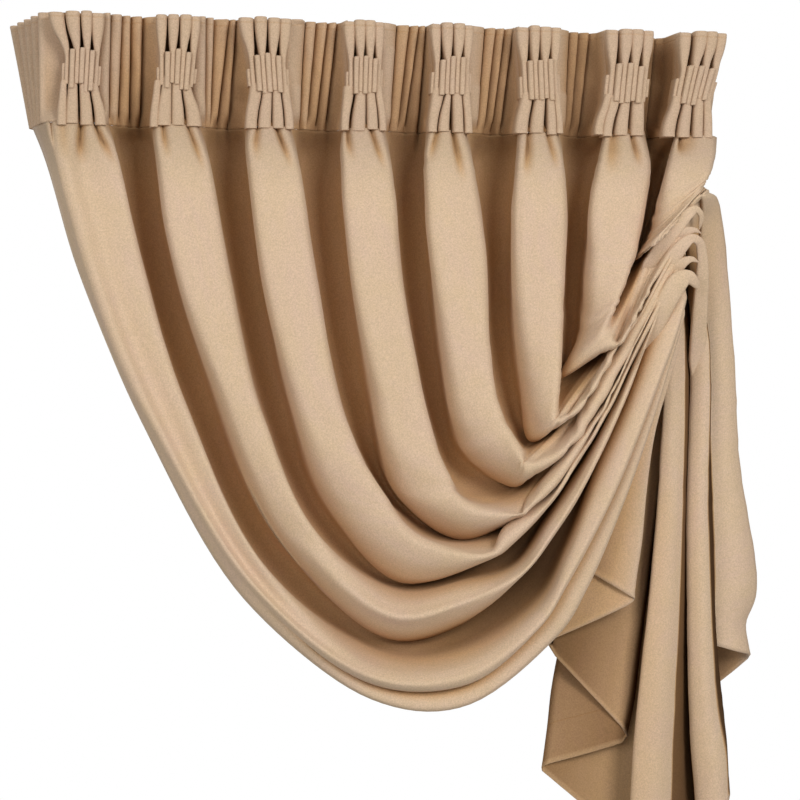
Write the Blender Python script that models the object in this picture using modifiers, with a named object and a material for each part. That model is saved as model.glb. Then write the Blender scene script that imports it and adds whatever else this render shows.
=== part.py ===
"""A pinch-pleated velvet curtain, swept aside so that it hangs as a swag and falls as a tail.

The curtain is two solids. The heading is the pleated strip along the top, and the curtain panel is the one
cloth below it. X runs along the heading, the front faces -Y and Z is up. The origin is the middle of the
heading's top edge, and the tables below are in millimetres.
"""

from collections import namedtuple

import bmesh
import bpy
import numpy as np

MM = 0.001

# The heading strip.
HEADING_DEPTH = 138.0
SEAM_GAP = 0.3
SEAM_UPRIGHT = 4.0
HEADING_CLOTH = 2.0
FINS = 4
FIN_SHARE = 0.58
FIN_SPLAY = 0.8
FLUTES = 5
FLUTE_RIDGE = 0.28
FLUTE_HOLLOW = 0.22
RETURN_CORNER = (-446.0, 6.0)
RETURN_END = (-491.0, 160.0)
RETURN_SLANT = (0.19, -0.48)
RETURN_FLUTES = 4
RETURN_SHALLOWER = 0.35
RIGHT_END = 444.0
RIGHT_END_SLANT = -0.14
RIGHT_END_BACK = 10.0

# The pinch clusters: where each one's middle is along the top edge, and how far it moves for each
# millimetre down.
Pleat = namedtuple("Pleat", "centre slant")
PLEATS = (
    Pleat(-411.0, 0.0),
    Pleat(-286.0, 0.0),
    Pleat(-170.0, 0.0),
    Pleat(-49.0, 0.0),
    Pleat(70.0, 0.0),
    Pleat(193.0, 0.0),
    Pleat(318.0, 0.0),
    Pleat(411.0, -0.1),
)

# One row for each level of the heading: how far down it is, the half width of a pleat cluster, how far
# forward the cluster stands, how deep its fins are, how far back the gaps lie and how deep their flutes are.
Level = namedtuple("Level", "down half_width front fin_depth gap_back flute_depth")
LEVELS = (
    Level(0.0, 29.0, -26.0, 24.0, 24.0, 11.0),
    Level(22.0, 26.0, -26.0, 22.0, 24.0, 11.0),
    Level(46.0, 22.0, -27.0, 9.0, 23.0, 11.0),
    Level(88.0, 22.0, -27.0, 9.0, 21.0, 10.0),
    Level(112.0, 26.0, -22.0, 12.0, 18.0, 9.0),
)

# The panel cloth.
PANEL_CLOTH = 2.0
ROWS_BETWEEN_STATIONS = (2, 4, 4, 5, 5, 3, 4, 4, 4, 2, 3, 3, 3, 2)

# How the folds stand at each station along the cloth: how far forward the crests are, how deep the
# valleys behind them are, which way a fold leans and how far back the leading edge is set. At a lean of 1
# a fold's inner edge overhangs, at -1 its outer edge.
Station = namedtuple("Station", "name crest depth lean edge_back")
STATIONS = (
    Station("seam", -12.0, 30.0, 0.0, 57.0),
    Station("shoulder", -32.0, 50.0, 1.0, 35.0),
    Station("upper", -45.0, 60.0, 1.0, 12.0),
    Station("middle", -55.0, 60.0, 1.0, 4.0),
    Station("lower", -70.0, 60.0, 1.0, 0.0),
    Station("turn", -85.0, 50.0, 0.2, 0.0),
    Station("lift", -80.0, 45.0, -0.5, 0.0),
    Station("rise", -72.0, 38.0, -1.0, 0.0),
    Station("neck", -62.0, 30.0, -1.0, 0.0),
    Station("gather", -52.0, 22.0, -1.0, 0.0),
)

# One row for each long edge of a fold, from the leading edge to the side edge: where it stands at each
# station, as x and z. An outer edge is the one nearer the leading edge. All start on the seam.
FoldEdge = namedtuple("FoldEdge", "name seam shoulder upper middle lower turn lift rise neck gather")
FOLD_EDGES = (
    FoldEdge("leading", -466, (-449, -185), (-412, -321), (-345, -508), (-213, -738),
             (-49, -870), (106, -870), (242, -720), (323, -528), (377, -354)),
    FoldEdge("outer_1", -447, (-437, -182), (-397, -318), (-326, -500), (-193, -724),
             (-45, -861), (84, -854), (222, -697), (305, -540), (388, -340)),
    FoldEdge("inner_1", -375, (-364, -177), (-333, -320), (-285, -490), (-184, -697),
             (-52, -796), (79, -789), (196, -689), (274, -547), (374, -333)),
    FoldEdge("outer_2", -320, (-315, -170), (-296, -296), (-256, -442), (-168, -654),
             (-56, -784), (60, -775), (177, -682), (260, -547), (367, -323)),
    FoldEdge("inner_2", -260, (-247, -189), (-226, -322), (-192, -497), (-124, -654),
             (-22, -753), (71, -756), (175, -656), (252, -540), (369, -317)),
    FoldEdge("outer_3", -202, (-200, -174), (-184, -320), (-150, -486), (-92, -620),
             (-14, -719), (76, -707), (169, -645), (244, -526), (361, -314)),
    FoldEdge("inner_3", -144, (-138, -184), (-118, -311), (-88, -488), (-34, -608),
             (17, -663), (102, -679), (170, -630), (241, -527), (383, -309)),
    FoldEdge("outer_4", -77, (-78, -178), (-70, -313), (-44, -474), (-1, -602),
             (60, -666), (119, -650), (181, -606), (241, -525), (386, -305)),
    FoldEdge("inner_4", -19, (-13, -195), (-7, -318), (16, -473), (50, -588),
             (82, -625), (145, -632), (191, -589), (244, -520), (385, -299)),
    FoldEdge("outer_5", 37, (33, -182), (39, -280), (49, -422), (65, -545),
             (117, -596), (156, -586), (205, -557), (252, -494), (375, -292)),
    FoldEdge("inner_5", 87, (92, -181), (105, -294), (108, -422), (118, -501),
             (143, -553), (172, -566), (222, -526), (258, -479), (388, -283)),
    FoldEdge("outer_6", 161, (154, -174), (151, -246), (147, -370), (144, -474),
             (150, -539), (184, -526), (222, -498), (265, -442), (387, -278)),
    FoldEdge("inner_6", 215, (216, -175), (213, -247), (206, -351), (196, -451),
             (191, -503), (212, -503), (242, -468), (278, -425), (382, -270)),
    FoldEdge("outer_7", 279, (267, -169), (256, -232), (247, -311), (221, -403),
             (187, -458), (221, -442), (262, -421), (319, -344), (378, -263)),
    FoldEdge("inner_7", 333, (330, -177), (322, -233), (302, -295), (276, -354),
             (264, -400), (280, -407), (301, -370), (332, -320), (392, -245)),
    FoldEdge("outer_8", 381, (355, -169), (344, -197), (331, -234), (315, -276),
             (296, -307), (315, -290), (340, -264), (364, -243), (393, -223)),
    FoldEdge("inner_8", 428, (420, -161), (413, -175), (405, -191), (398, -201),
             (394, -209), (397, -211), (401, -213), (403, -215), (404, -217)),
)

# Where a fold's columns lie between its outer edge and its inner edge and then across the valley to the next
# fold, and how deep they are as a share of the valley: first where it leans in, then where it leans out.
# Across 0 to 1 is the face and 1 to 2 the valley.
Column = namedtuple("Column", "name in_across in_depth out_across out_depth")
FOLD_COLUMNS = (
    Column("outer", 0.0, 0.6, 0.0, 0.0),
    Column("outer_face", 0.34, 0.22, 0.3, 0.02),
    Column("inner_face", 0.7, 0.02, 0.68, 0.24),
    Column("inner", 1.0, 0.0, 1.0, 0.6),
    Column("tuck", 0.84, 0.5, 1.45, 0.95),
    Column("near_floor", 1.2, 1.0, 2.12, 1.0),
    Column("far_floor", 1.7, 0.95, 2.16, 0.45),
)
EDGE_DEPTH = 0.5
EDGE_TUCK = Column("edge_tuck", 0.5, 0.55, 1.15, 0.35)
LAST_FOLD_COLUMNS = 4
SIDE_TUCK = 45.0
SIDE_DRAW = 12.0

# The tail hangs from the gather, folded to and fro. One row for each of its edges: the fold edge that it
# carries on, then x and y at its top, at two fifths and four fifths of its length and at its hem, and the
# height of the hem.
TailEdge = namedtuple("TailEdge", "carries_on top upper lower hem hem_z")
TAIL_TOP_Z = -396.0
TAIL_SHARES = (0.0, 0.4, 0.8, 1.0)
TAIL_EDGES = (
    TailEdge("leading", (367, -14), (334, -14), (282, -12), (250, -10), -712),
    TailEdge("inner_1", (373, -12), (338, -18), (326, -16), (317, -14), -758),
    TailEdge("outer_2", (362, 4), (309, 6), (236, 6), (199, 6), -822),
    TailEdge("inner_2", (375, 8), (359, 8), (336, 8), (318, 8), -945),
    TailEdge("outer_3", (362, 20), (297, 26), (217, 26), (202, 26), -983),
    TailEdge("outer_4", (384, 22), (337, 26), (288, 28), (269, 30), -1040),
    TailEdge("inner_5", (395, 14), (396, 16), (385, 18), (381, 20), -1120),
    TailEdge("inner_6", (415, 50), (416, 56), (413, 58), (414, 58), -1114),
    TailEdge("outer_7", (410, 10), (402, 12), (407, 12), (417, 12), -1082),
    TailEdge("inner_7", (425, 2), (430, 4), (452, 6), (466, 6), -1031),
    TailEdge("outer_8", (425, 30), (430, 36), (433, 38), (434, 38), -810),
    TailEdge("inner_8", (467, 18), (481, 24), (508, 28), (501, 28), -853),
    TailEdge("side", (455, 44), (452, 52), (449, 56), (444, 56), -914),
)
# The cloth rolls over at the gather, from the front to the tail behind it. The roll lies this share of the
# way to the tail's top, and is shifted there, more at the side edge.
ROLL_SHARE = 0.3
ROLL_SHIFT = (7.0, 26.0, -6.0)
SIDE_ROLL_SHIFT = (18.0, 30.0, 30.0)

CLOTH_COLOUR = (0.60, 0.43, 0.28, 1.0)
HEADING_COLOUR = (0.57, 0.41, 0.27, 1.0)
ROUGHNESS = 0.9


def through(points, shares):
    """Places on a smooth curve through the points, at shares that count the points from 0."""
    points = np.asarray(points, float)
    chords = np.linalg.norm(np.diff(points, axis=0), axis=-1)
    while chords.ndim > 1:
        chords = chords.mean(axis=-1)
    knots = np.concatenate([[0.0], np.cumsum(np.sqrt(np.maximum(chords, 1e-6)))])
    widths = np.diff(knots).reshape((-1,) + (1,) * (points.ndim - 1))
    slopes = np.diff(points, axis=0) / widths
    tangents = np.empty_like(points)
    tangents[1:-1] = (slopes[:-1] * widths[1:] + slopes[1:] * widths[:-1]) / (widths[1:] + widths[:-1])
    tangents[0], tangents[-1] = slopes[0], slopes[-1]
    shares = np.asarray(shares, float)
    first = np.clip(shares.astype(int), 0, len(points) - 2)
    t = (shares - first).reshape((-1,) + (1,) * (points.ndim - 1))
    width = widths[first]
    return ((2 * t**3 - 3 * t**2 + 1) * points[first] + (t**3 - 2 * t**2 + t) * width * tangents[first]
            + (3 * t**2 - 2 * t**3) * points[first + 1] + (t**3 - t**2) * width * tangents[first + 1])


def fold_paths():
    """The fold edges as arrays of x and z, one row for each station."""
    paths = {}
    for edge in FOLD_EDGES:
        paths[edge.name] = np.array([(edge.seam, -HEADING_DEPTH - SEAM_GAP)] + list(edge[2:]), float)
    return paths


def column_path(column, outer, inner, beyond, beyond_inner):
    """One column of a fold through the swag, as x, y, z at each station."""
    places = []
    for n, station in enumerate(STATIONS):
        inward = (1 + station.lean) / 2
        across = column.out_across + (column.in_across - column.out_across) * inward
        depth = column.out_depth + (column.in_depth - column.out_depth) * inward
        if across <= 1:
            x, z = outer[n] + (inner[n] - outer[n]) * across
        elif across <= 2:
            x, z = inner[n] + (beyond[n] - inner[n]) * (across - 1)
        else:
            x, z = beyond[n] + (beyond_inner[n] - beyond[n]) * (across - 2)
        places.append((x, station.crest + station.depth * depth, z))
    return places


def swag_columns():
    """Names and paths of every column of the panel, from the leading edge to the side edge."""
    paths = fold_paths()
    leading, first, first_inner = paths["leading"], paths["outer_1"], paths["inner_1"]
    names = ["leading", EDGE_TUCK.name]
    columns = [
        [(x, s.crest + EDGE_DEPTH * s.depth + s.edge_back, z) for (x, z), s in zip(leading, STATIONS)],
        column_path(EDGE_TUCK, leading, first, first_inner, first_inner),
    ]
    for k in range(1, len(PLEATS) + 1):
        outer, inner = paths[f"outer_{k}"], paths[f"inner_{k}"]
        beyond = paths.get(f"outer_{k + 1}", inner)
        beyond_inner = paths.get(f"inner_{k + 1}", inner)
        for column in FOLD_COLUMNS if k < len(PLEATS) else FOLD_COLUMNS[:LAST_FOLD_COLUMNS]:
            names.append(f"{column.name}_{k}")
            columns.append(column_path(column, outer, inner, beyond, beyond_inner))
    names.append("side")
    columns.append([(x - SIDE_DRAW, y + SIDE_TUCK, z) for x, y, z in columns[-1]])
    return names, columns


def tail_columns(names):
    """The panel's columns through the tail, spread between the tail's edges."""
    corners = [names.index(edge.carries_on) for edge in TAIL_EDGES]
    stations = []
    for n, share in enumerate(TAIL_SHARES):
        corner_places = []
        for edge in TAIL_EDGES:
            x, y = edge[1 + n]
            corner_places.append((x, y, TAIL_TOP_Z + (edge.hem_z - TAIL_TOP_Z) * share))
        corner_places = np.array(corner_places, float)
        index = np.arange(len(names))
        stations.append(np.stack([np.interp(index, corners, corner_places[:, i]) for i in range(3)], axis=1))
    return np.stack(stations, axis=1)


def panel_surface():
    """The panel's surface as rows down the cloth and columns across it."""
    names, swag = swag_columns()
    swag = np.array(swag)
    tail = tail_columns(names)
    roll = swag[:, -1:, :] * (1 - ROLL_SHARE) + tail[:, :1, :] * ROLL_SHARE
    last_fold = [names.index(f"{side}_{len(PLEATS)}") for side in ("outer", "inner")]
    sideways = np.interp(np.arange(len(names)), last_fold, (0.0, 1.0))[:, None, None]
    roll = roll + np.array(ROLL_SHIFT) * (1 - sideways) + np.array(SIDE_ROLL_SHIFT) * sideways
    paths = np.concatenate([swag, roll, tail], axis=1).transpose(1, 0, 2)
    shares = [0.0]
    for start, count in enumerate(ROWS_BETWEEN_STATIONS):
        shares += [start + (n + 1) / count for n in range(count)]
    surface = np.stack([through(paths[:, c], shares) for c in range(paths.shape[1])], axis=1)
    return np.concatenate([surface[:1], surface[:1] - (0, 0, SEAM_UPRIGHT), surface[1:]])


def seam_line():
    """The seam as x and y, with the column numbers of the panel."""
    _, swag = swag_columns()
    return np.array(swag)[:, 0, :2]


def cluster_profile(level, centre):
    """The fins of one pleat cluster at one level, as x and y from left to right."""
    pitch = 2 * level.half_width / FINS
    places = []
    for n in range(FINS):
        left = centre - level.half_width + pitch * (n + (1 - FIN_SHARE) / 2)
        right = left + pitch * FIN_SHARE
        back = level.front + level.fin_depth
        places += [(left - FIN_SPLAY, back), (left, level.front), (right, level.front), (right + FIN_SPLAY, back)]
    return places


def gap_profile(level, start, end):
    """The flutes between two clusters at one level, as x and y."""
    places = []
    for n in range(FLUTES):
        x = start + (end - start) * (n + 0.5) / FLUTES
        width = (end - start) / FLUTES
        places.append((x - width * FLUTE_RIDGE, level.gap_back))
        places.append((x + width * FLUTE_HOLLOW, level.gap_back + level.flute_depth))
    return places


def return_profile(level):
    """The left end of the heading, which goes back to the wall in shallow flutes."""
    start, end = np.array(RETURN_END), np.array(RETURN_CORNER)
    start = start + np.array(RETURN_SLANT) * level.down
    run = end - start
    side = np.array([-run[1], run[0]]) / np.linalg.norm(run)
    places = []
    for n in range(2 * RETURN_FLUTES):
        swing = level.flute_depth * RETURN_SHALLOWER * (1 if n % 2 else -1)
        places.append(tuple(start + run * n / (2 * RETURN_FLUTES) + side * swing))
    return places


def heading_row(level):
    """One level of the heading from end to end, as x and y."""
    places = return_profile(level)
    centres = [pleat.centre + pleat.slant * level.down for pleat in PLEATS]
    for centre, following in zip(centres, centres[1:]):
        places += cluster_profile(level, centre)
        places += gap_profile(level, centre + level.half_width, following - level.half_width)
    places += cluster_profile(level, centres[-1])
    places.append((RIGHT_END + RIGHT_END_SLANT * level.down, level.front + level.fin_depth + RIGHT_END_BACK))
    return places


def seam_row():
    """The heading's lowest level: the panel's seam line, with as many places as the levels above it."""
    names, swag = swag_columns()
    line = np.array(swag)[:, 0, :2]
    index = np.arange(len(names))
    starts = [names.index(f"outer_{k + 1}") for k in range(len(PLEATS))]
    ends = [names.index(f"inner_{k + 1}") for k in range(len(PLEATS))]
    numbers = list(np.linspace(0, starts[0], 2 * RETURN_FLUTES, endpoint=False))
    for start, end, following in zip(starts, ends, starts[1:]):
        numbers += list(np.linspace(start, end, 4 * FINS))
        numbers += list(np.linspace(end, following, 2 * FLUTES + 2)[1:-1])
    numbers += list(np.linspace(starts[-1], ends[-1], 4 * FINS)) + [index[-1]]
    return list(zip(np.interp(numbers, index, line[:, 0]), np.interp(numbers, index, line[:, 1])))


def heading_surface():
    """The heading's surface, as rows from its top edge to the seam."""
    rows = [heading_row(level) for level in LEVELS]
    heights = [-level.down for level in LEVELS]
    rows += [seam_row()] * 2
    heights += [SEAM_UPRIGHT - HEADING_DEPTH, -HEADING_DEPTH]
    return np.array([[(x, y, z) for x, y in row] for row, z in zip(rows, heights)])


def cloth_object(name, surface, thickness, colour, collection):
    """A sheet of cloth over the grid of places, as thick as given."""
    rows, columns = surface.shape[:2]
    bm = bmesh.new()
    bmesh.ops.create_grid(bm, x_segments=columns - 1, y_segments=rows - 1, size=0.5)
    bm.verts.ensure_lookup_table()
    for vert in bm.verts:
        column = round((vert.co.x + 0.5) * (columns - 1))
        row = round((0.5 - vert.co.y) * (rows - 1))
        vert.co = surface[row, column] * MM
    mesh = bpy.data.meshes.new(name)
    bm.to_mesh(mesh)
    bm.free()
    mesh.shade_smooth()
    obj = bpy.data.objects.new(name, mesh)
    collection.objects.link(obj)
    solidify = obj.modifiers.new("cloth", "SOLIDIFY")
    solidify.thickness = thickness * MM
    solidify.offset = 0.0
    solidify.use_even_offset = False
    material = bpy.data.materials.new(name)
    material.use_nodes = True
    shader = material.node_tree.nodes["Principled BSDF"]
    shader.inputs["Base Color"].default_value = colour
    shader.inputs["Roughness"].default_value = ROUGHNESS
    shader.inputs["Metallic"].default_value = 0.0
    mesh.materials.append(material)
    return obj


def main():
    """Clears the scene and makes the curtain's two cloths."""
    for obj in list(bpy.data.objects):
        bpy.data.objects.remove(obj, do_unlink=True)
    collection = bpy.data.collections.new("velvet_curtain")
    bpy.context.scene.collection.children.link(collection)
    cloth_object("heading", heading_surface(), HEADING_CLOTH, HEADING_COLOUR, collection)
    cloth_object("curtain_panel", panel_surface(), PANEL_CLOTH, CLOTH_COLOUR, collection)


main()
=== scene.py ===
"""The looks of the velvet curtain: its cloth in close folds, the pleated heading and the velvet itself.

Sizes are in millimetres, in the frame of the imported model: X runs along the heading, the front faces -Y and
Z is up, from the middle of the heading's top edge. The meshes are made in metres.
"""

import logging
import math
from collections.abc import Sequence
from dataclasses import dataclass, field
from enum import Enum
from typing import Any, TypeAlias

import bpy
import numpy as np
from mathutils import Matrix, Vector


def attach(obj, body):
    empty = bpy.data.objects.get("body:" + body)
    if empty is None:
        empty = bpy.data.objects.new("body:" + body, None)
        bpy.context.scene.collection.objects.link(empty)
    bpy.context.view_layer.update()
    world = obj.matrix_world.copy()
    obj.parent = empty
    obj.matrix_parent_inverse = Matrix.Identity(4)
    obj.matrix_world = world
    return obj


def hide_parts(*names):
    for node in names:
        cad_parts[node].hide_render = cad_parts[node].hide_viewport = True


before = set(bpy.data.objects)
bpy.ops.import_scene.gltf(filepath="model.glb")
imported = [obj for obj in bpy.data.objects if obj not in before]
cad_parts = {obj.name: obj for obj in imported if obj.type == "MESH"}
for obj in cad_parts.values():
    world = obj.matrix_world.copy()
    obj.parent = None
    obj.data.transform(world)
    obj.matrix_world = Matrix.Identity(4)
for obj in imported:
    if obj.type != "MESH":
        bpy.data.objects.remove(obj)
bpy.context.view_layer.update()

MM = 0.001
LOG = logging.getLogger("curtain")


# Objects and their attributes

def placed(name: str, data: bpy.types.ID) -> bpy.types.Object:
    """Puts a mesh, a light or a camera into the scene as an object.

    Args:
        name: The object's name.
        data: The mesh, light or camera.

    Returns:
        The object.
    """
    thing = bpy.data.objects.new(name, data)
    bpy.context.scene.collection.objects.link(thing)
    return thing


def keep(mesh: bpy.types.Mesh, key: str, values: Any) -> None:
    """Keeps a number or a vector for each vertex of a mesh as an attribute.

    Args:
        mesh: The mesh that gets the attribute.
        key: The attribute's name.
        values: One number for each vertex, or one row of three.
    """
    numbers = np.asarray(values, np.float32)
    vector = numbers.ndim == 2
    attribute = mesh.attributes.new(key, "FLOAT_VECTOR" if vector else "FLOAT", "POINT")
    attribute.data.foreach_set("vector" if vector else "value", numbers.ravel())


# Curves and sheets

def through(points: np.ndarray, shares: np.ndarray) -> np.ndarray:
    """Places on a smooth curve through points, evenly eased by the square root of their distances.

    Args:
        points: The places that the curve passes, along the first axis.
        shares: Where to read the curve, counting the points from 0.

    Returns:
        One place for each share.
    """
    chords = np.linalg.norm(np.diff(points, axis=0), axis=-1)
    while chords.ndim > 1:
        chords = chords.mean(axis=-1)
    widths = np.sqrt(np.maximum(chords, 1e-6)).reshape((-1,) + (1,) * (points.ndim - 1))
    slopes = np.diff(points, axis=0) / widths
    tangents = np.empty_like(points)
    tangents[1:-1] = (slopes[:-1] * widths[1:] + slopes[1:] * widths[:-1]) / (widths[1:] + widths[:-1])
    tangents[0], tangents[-1] = slopes[0], slopes[-1]
    first = np.clip(shares.astype(int), 0, len(points) - 2)
    t = (shares - first).reshape((-1,) + (1,) * (points.ndim - 1))
    width = widths[first]
    return ((2 * t**3 - 3 * t**2 + 1) * points[first] + (t**3 - 2 * t**2 + t) * width * tangents[first]
            + (3 * t**2 - 2 * t**3) * points[first + 1] + (t**3 - t**2) * width * tangents[first + 1])


def spread(counts: Sequence[int]) -> np.ndarray:
    """Shares that cut each interval between points into the number of steps given.

    Args:
        counts: How many steps each interval gets.

    Returns:
        The shares, from 0 to the number of intervals.
    """
    shares = [0.0]
    for start, count in enumerate(counts):
        shares += [start + (step + 1) / count for step in range(count)]
    return np.array(shares)


def smooth(low: float, high: float, value: np.ndarray) -> np.ndarray:
    """An even ramp from 0 at low to 1 at high."""
    t = np.clip((value - low) / (high - low), 0.0, 1.0)
    return t * t * (3 - 2 * t)


def arc_lengths(surface: np.ndarray, axis: int) -> np.ndarray:
    """How far each place of a surface is along one of its axes.

    Args:
        surface: Places by row and column.
        axis: 0 to measure down the rows, 1 to measure across the columns.

    Returns:
        The distance of each place from the start, in the surface's units.
    """
    steps = np.linalg.norm(np.diff(surface, axis=axis), axis=-1)
    start = np.zeros_like(np.take(steps, [0], axis=axis))
    return np.concatenate([start, np.cumsum(steps, axis=axis)], axis=axis)


def normals_of(surface: np.ndarray) -> np.ndarray:
    """The unit normals of a surface, on the side that faces the room.

    Args:
        surface: Places by row and column.

    Returns:
        One normal for each place.
    """
    down = np.gradient(surface, axis=0)
    over = np.gradient(surface, axis=1)
    normal = np.cross(down, over)
    return normal / np.maximum(np.linalg.norm(normal, axis=-1, keepdims=True), 1e-9)


@dataclass
class Ripples:
    """Soft, uneven waves over cloth, as a sum of slanting sine waves.

    Attributes:
        seed: Picks the waves.
        longest: The longest wave, in mm.
        shortest: The shortest wave, in mm.
        stretch: How many times longer the waves are along the cloth than across it.
        waves: How many waves are added.
    """

    seed: int
    longest: float
    shortest: float
    stretch: float = 3.0
    waves: int = 14

    def at(self, across: np.ndarray, along: np.ndarray) -> np.ndarray:
        """The height of the waves, about -1 to 1, at places in mm.

        Args:
            across: How far across the cloth each place is.
            along: How far along the cloth each place is.

        Returns:
            One height for each place.
        """
        generator = np.random.default_rng(self.seed)
        height = np.zeros(np.broadcast(across, along).shape)
        for _ in range(self.waves):
            length = math.exp(generator.uniform(math.log(self.shortest), math.log(self.longest)))
            turn = generator.uniform(-0.6, 0.6)
            phase = generator.uniform(0, math.tau)
            place = across * math.cos(turn) + along * math.sin(turn) / self.stretch
            drift = along / (self.stretch * length) * generator.uniform(-1, 1)
            height += np.sin(math.tau * (place / length + drift) + phase) * math.sqrt(length / self.longest)
        return height / math.sqrt(self.waves)


class ClothMesh:
    """A sheet of cloth as a closed thin mesh over a surface of rows and columns."""

    def __init__(self, name: str, surface: np.ndarray, thickness: np.ndarray | float,
                 values: dict[str, np.ndarray] | None = None) -> None:
        """Builds the mesh object.

        Args:
            name: The piece's name.
            surface: Places in mm, as rows down the cloth and columns across it.
            thickness: The cloth's thickness in mm, one for all or one for each place.
            values: More numbers for each place, kept as attributes for the finish.
        """
        rows, columns = surface.shape[:2]
        offset = normals_of(surface) * np.broadcast_to(np.asarray(thickness) / 2, (rows, columns))[..., None]
        places = np.concatenate([(surface + offset).reshape(-1, 3), (surface - offset).reshape(-1, 3)]) * MM
        index = np.arange(rows * columns).reshape(rows, columns)
        corners = [index[:-1, :-1], index[1:, :-1], index[1:, 1:], index[:-1, 1:]]
        front = np.stack(corners, axis=-1).reshape(-1, 4)
        rim = np.concatenate([index[:, 0], index[-1, 1:], index[::-1, -1][1:], index[0, ::-1][1:-1]])
        following = np.roll(rim, -1)
        count = rows * columns
        edge = np.stack([following, rim, rim + count, following + count], axis=-1)
        faces = np.concatenate([front, front[:, ::-1] + count, edge])
        mesh = bpy.data.meshes.new(name)
        mesh.from_pydata(places.tolist(), [], faces.tolist())
        mesh.shade_smooth()
        keep(mesh, "inside", np.repeat((0.0, 1.0), count))
        level = np.zeros((rows, columns))
        cloth = np.stack([arc_lengths(surface, 1), arc_lengths(surface, 0), level], axis=-1)
        keep(mesh, "cloth", np.concatenate([cloth.reshape(-1, 3) * MM] * 2))
        for key, value in (values or {}).items():
            keep(mesh, key, np.tile(np.broadcast_to(value, (rows, columns)).ravel(), 2))
        self.object = placed(name, mesh)


# The folds of the curtain

class Section(Enum):
    """How the columns of one fold lie in cross-section.

    Each column is a pair: how far across it is, from 0 at the fold's outer edge over 1 at its inner edge to
    2 at the next fold's outer edge, and how deep it is as a share of the valley.
    """

    SEAM = ((0, .4), (.05, .16), (.18, .04), (.5, 0), (.82, .03), (.95, .14), (1, .42), (1.04, .66),
            (1.1, .86), (1.25, .98), (1.5, 1), (1.8, .98), (1.93, .84), (1.98, .6))
    TUBE = ((0, .22), (.05, .08), (.18, .02), (.5, 0), (.82, .02), (.94, .06), (.985, .16), (.985, .4),
            (.965, .7), (1.1, .94), (1.4, 1), (1.8, .96), (2.02, .76), (2.02, .46))
    RIM = ((0, .07), (.05, .03), (.16, 0), (.4, .1), (.76, .05), (.93, .04), (.985, .1), (.985, .34),
           (.965, .66), (1.1, .94), (1.4, 1), (1.8, .96), (1.98, .78), (1.99, .5))
    FALL = ((0, .32), (.08, .16), (.22, .06), (.5, .02), (.78, 0), (.93, .02), (.985, .08), (.985, .3),
            (.965, .62), (1.1, .94), (1.4, 1), (1.74, .98), (1.9, .82), (1.96, .56))
    SWEEP = ((0, .55), (.1, .38), (.25, .22), (.5, .08), (.78, .01), (.93, .01), (.985, .07), (.985, .28),
             (.965, .58), (1.1, .88), (1.4, 1), (1.7, 1), (1.88, .92), (1.97, .76))
    SHELF = ((0, .72), (.08, .55), (.22, .4), (.45, .2), (.7, .05), (.88, 0), (1, .1), (1.08, .3),
             (1.2, .52), (1.4, .76), (1.6, .92), (1.85, 1.02), (2.04, 1.05), (2.02, .9))
    BELLY = ((0, .8), (.07, .56), (.24, .26), (.46, 0), (.66, .12), (.84, .3), (1, .55), (1.12, .7),
             (1.3, .84), (1.5, .94), (1.7, 1), (1.9, 1.04), (2.06, 1.04), (2.03, .95))
    ROLL = ((0, .3), (.06, .12), (.2, 0), (.36, .05), (.58, .2), (.8, .42), (1, .66), (1.12, .78),
            (1.3, .9), (1.5, .97), (1.7, 1), (1.9, 1.04), (2.06, 1.04), (2.04, .95))
    VEE = ((0, .3), (.1, .15), (.3, .05), (.55, 0), (.8, 0), (.95, .03), (1, .08), (1.1, .2),
           (1.25, .36), (1.45, .55), (1.7, .78), (1.9, .95), (2.1, 1), (2.08, .7))
    TILE = ((0, .2), (.04, .08), (.14, .01), (.35, 0), (.6, .08), (.82, .24), (1, .42), (1.15, .6),
            (1.3, .75), (1.5, .9), (1.8, 1), (2.15, 1), (2.2, .75), (2.1, .45))
    SOFT = ((0, .12), (.04, .05), (.14, .01), (.35, 0), (.6, .06), (.82, .18), (1, .34), (1.15, .46),
            (1.3, .54), (1.5, .6), (1.8, .62), (2.1, .56), (2.12, .4), (2.05, .25))
    SLOPE = ((0, .24), (.03, .09), (.1, 0), (.3, .05), (.55, .18), (.8, .4), (1, .64), (1.15, .82),
             (1.35, .94), (1.6, 1), (1.85, 1.04), (2.06, 1.04), (2.1, .84), (2.06, .55))


# The column of a section that is the fold's inner edge, and the depth share from which cloth gets painted
# shade
INNER_COLUMN = 6
SHADE_FROM = 0.12


@dataclass(frozen=True)
class Station:
    """How the folds stand at one place along the cloth, in mm.

    Attributes:
        name: The place's name.
        crest: How far forward the crests are.
        depth: How deep the valleys behind the crests are.
        edge: How far forward the leading edge is.
        shade: How much painted shade the valleys get.
        section: The section that most folds have here.
        low_section: The section of the second fold.
        first_section: The section of the first fold.
        edge_under: Whether the leading edge's strip lies under the first fold, from 0 to 1.
    """

    name: str
    crest: float
    depth: float
    edge: float
    shade: float
    section: Section
    low_section: Section
    first_section: Section
    edge_under: float = 0.0

    def section_of(self, fold: int) -> Section:
        """The section of a fold here, by its number."""
        return {1: self.first_section, 2: self.low_section}.get(fold, self.section)

    def place(self, x: float, z: float, share: float) -> tuple[float, float, float, float]:
        """A place that looks from the room to be at x and z on the crests, but lies deeper.

        Args:
            x: Its x on the crests' plane.
            z: Its z there.
            share: How deep it is as a share of the valley.

        Returns:
            The place's x, y and z, and how much painted shade it gets.
        """
        y = self.crest + self.depth * share
        reach = (y - VIEWPOINT[1]) / (self.crest - VIEWPOINT[1])
        height = z if self.name == "seam" else VIEWPOINT[2] + (z - VIEWPOINT[2]) * reach
        # Painted shade, darker the deeper the place lies in the valley.
        dark = self.shade * max(0.0, share - SHADE_FROM) / (1 - SHADE_FROM)
        return VIEWPOINT[0] + (x - VIEWPOINT[0]) * reach, y, height, dark


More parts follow.
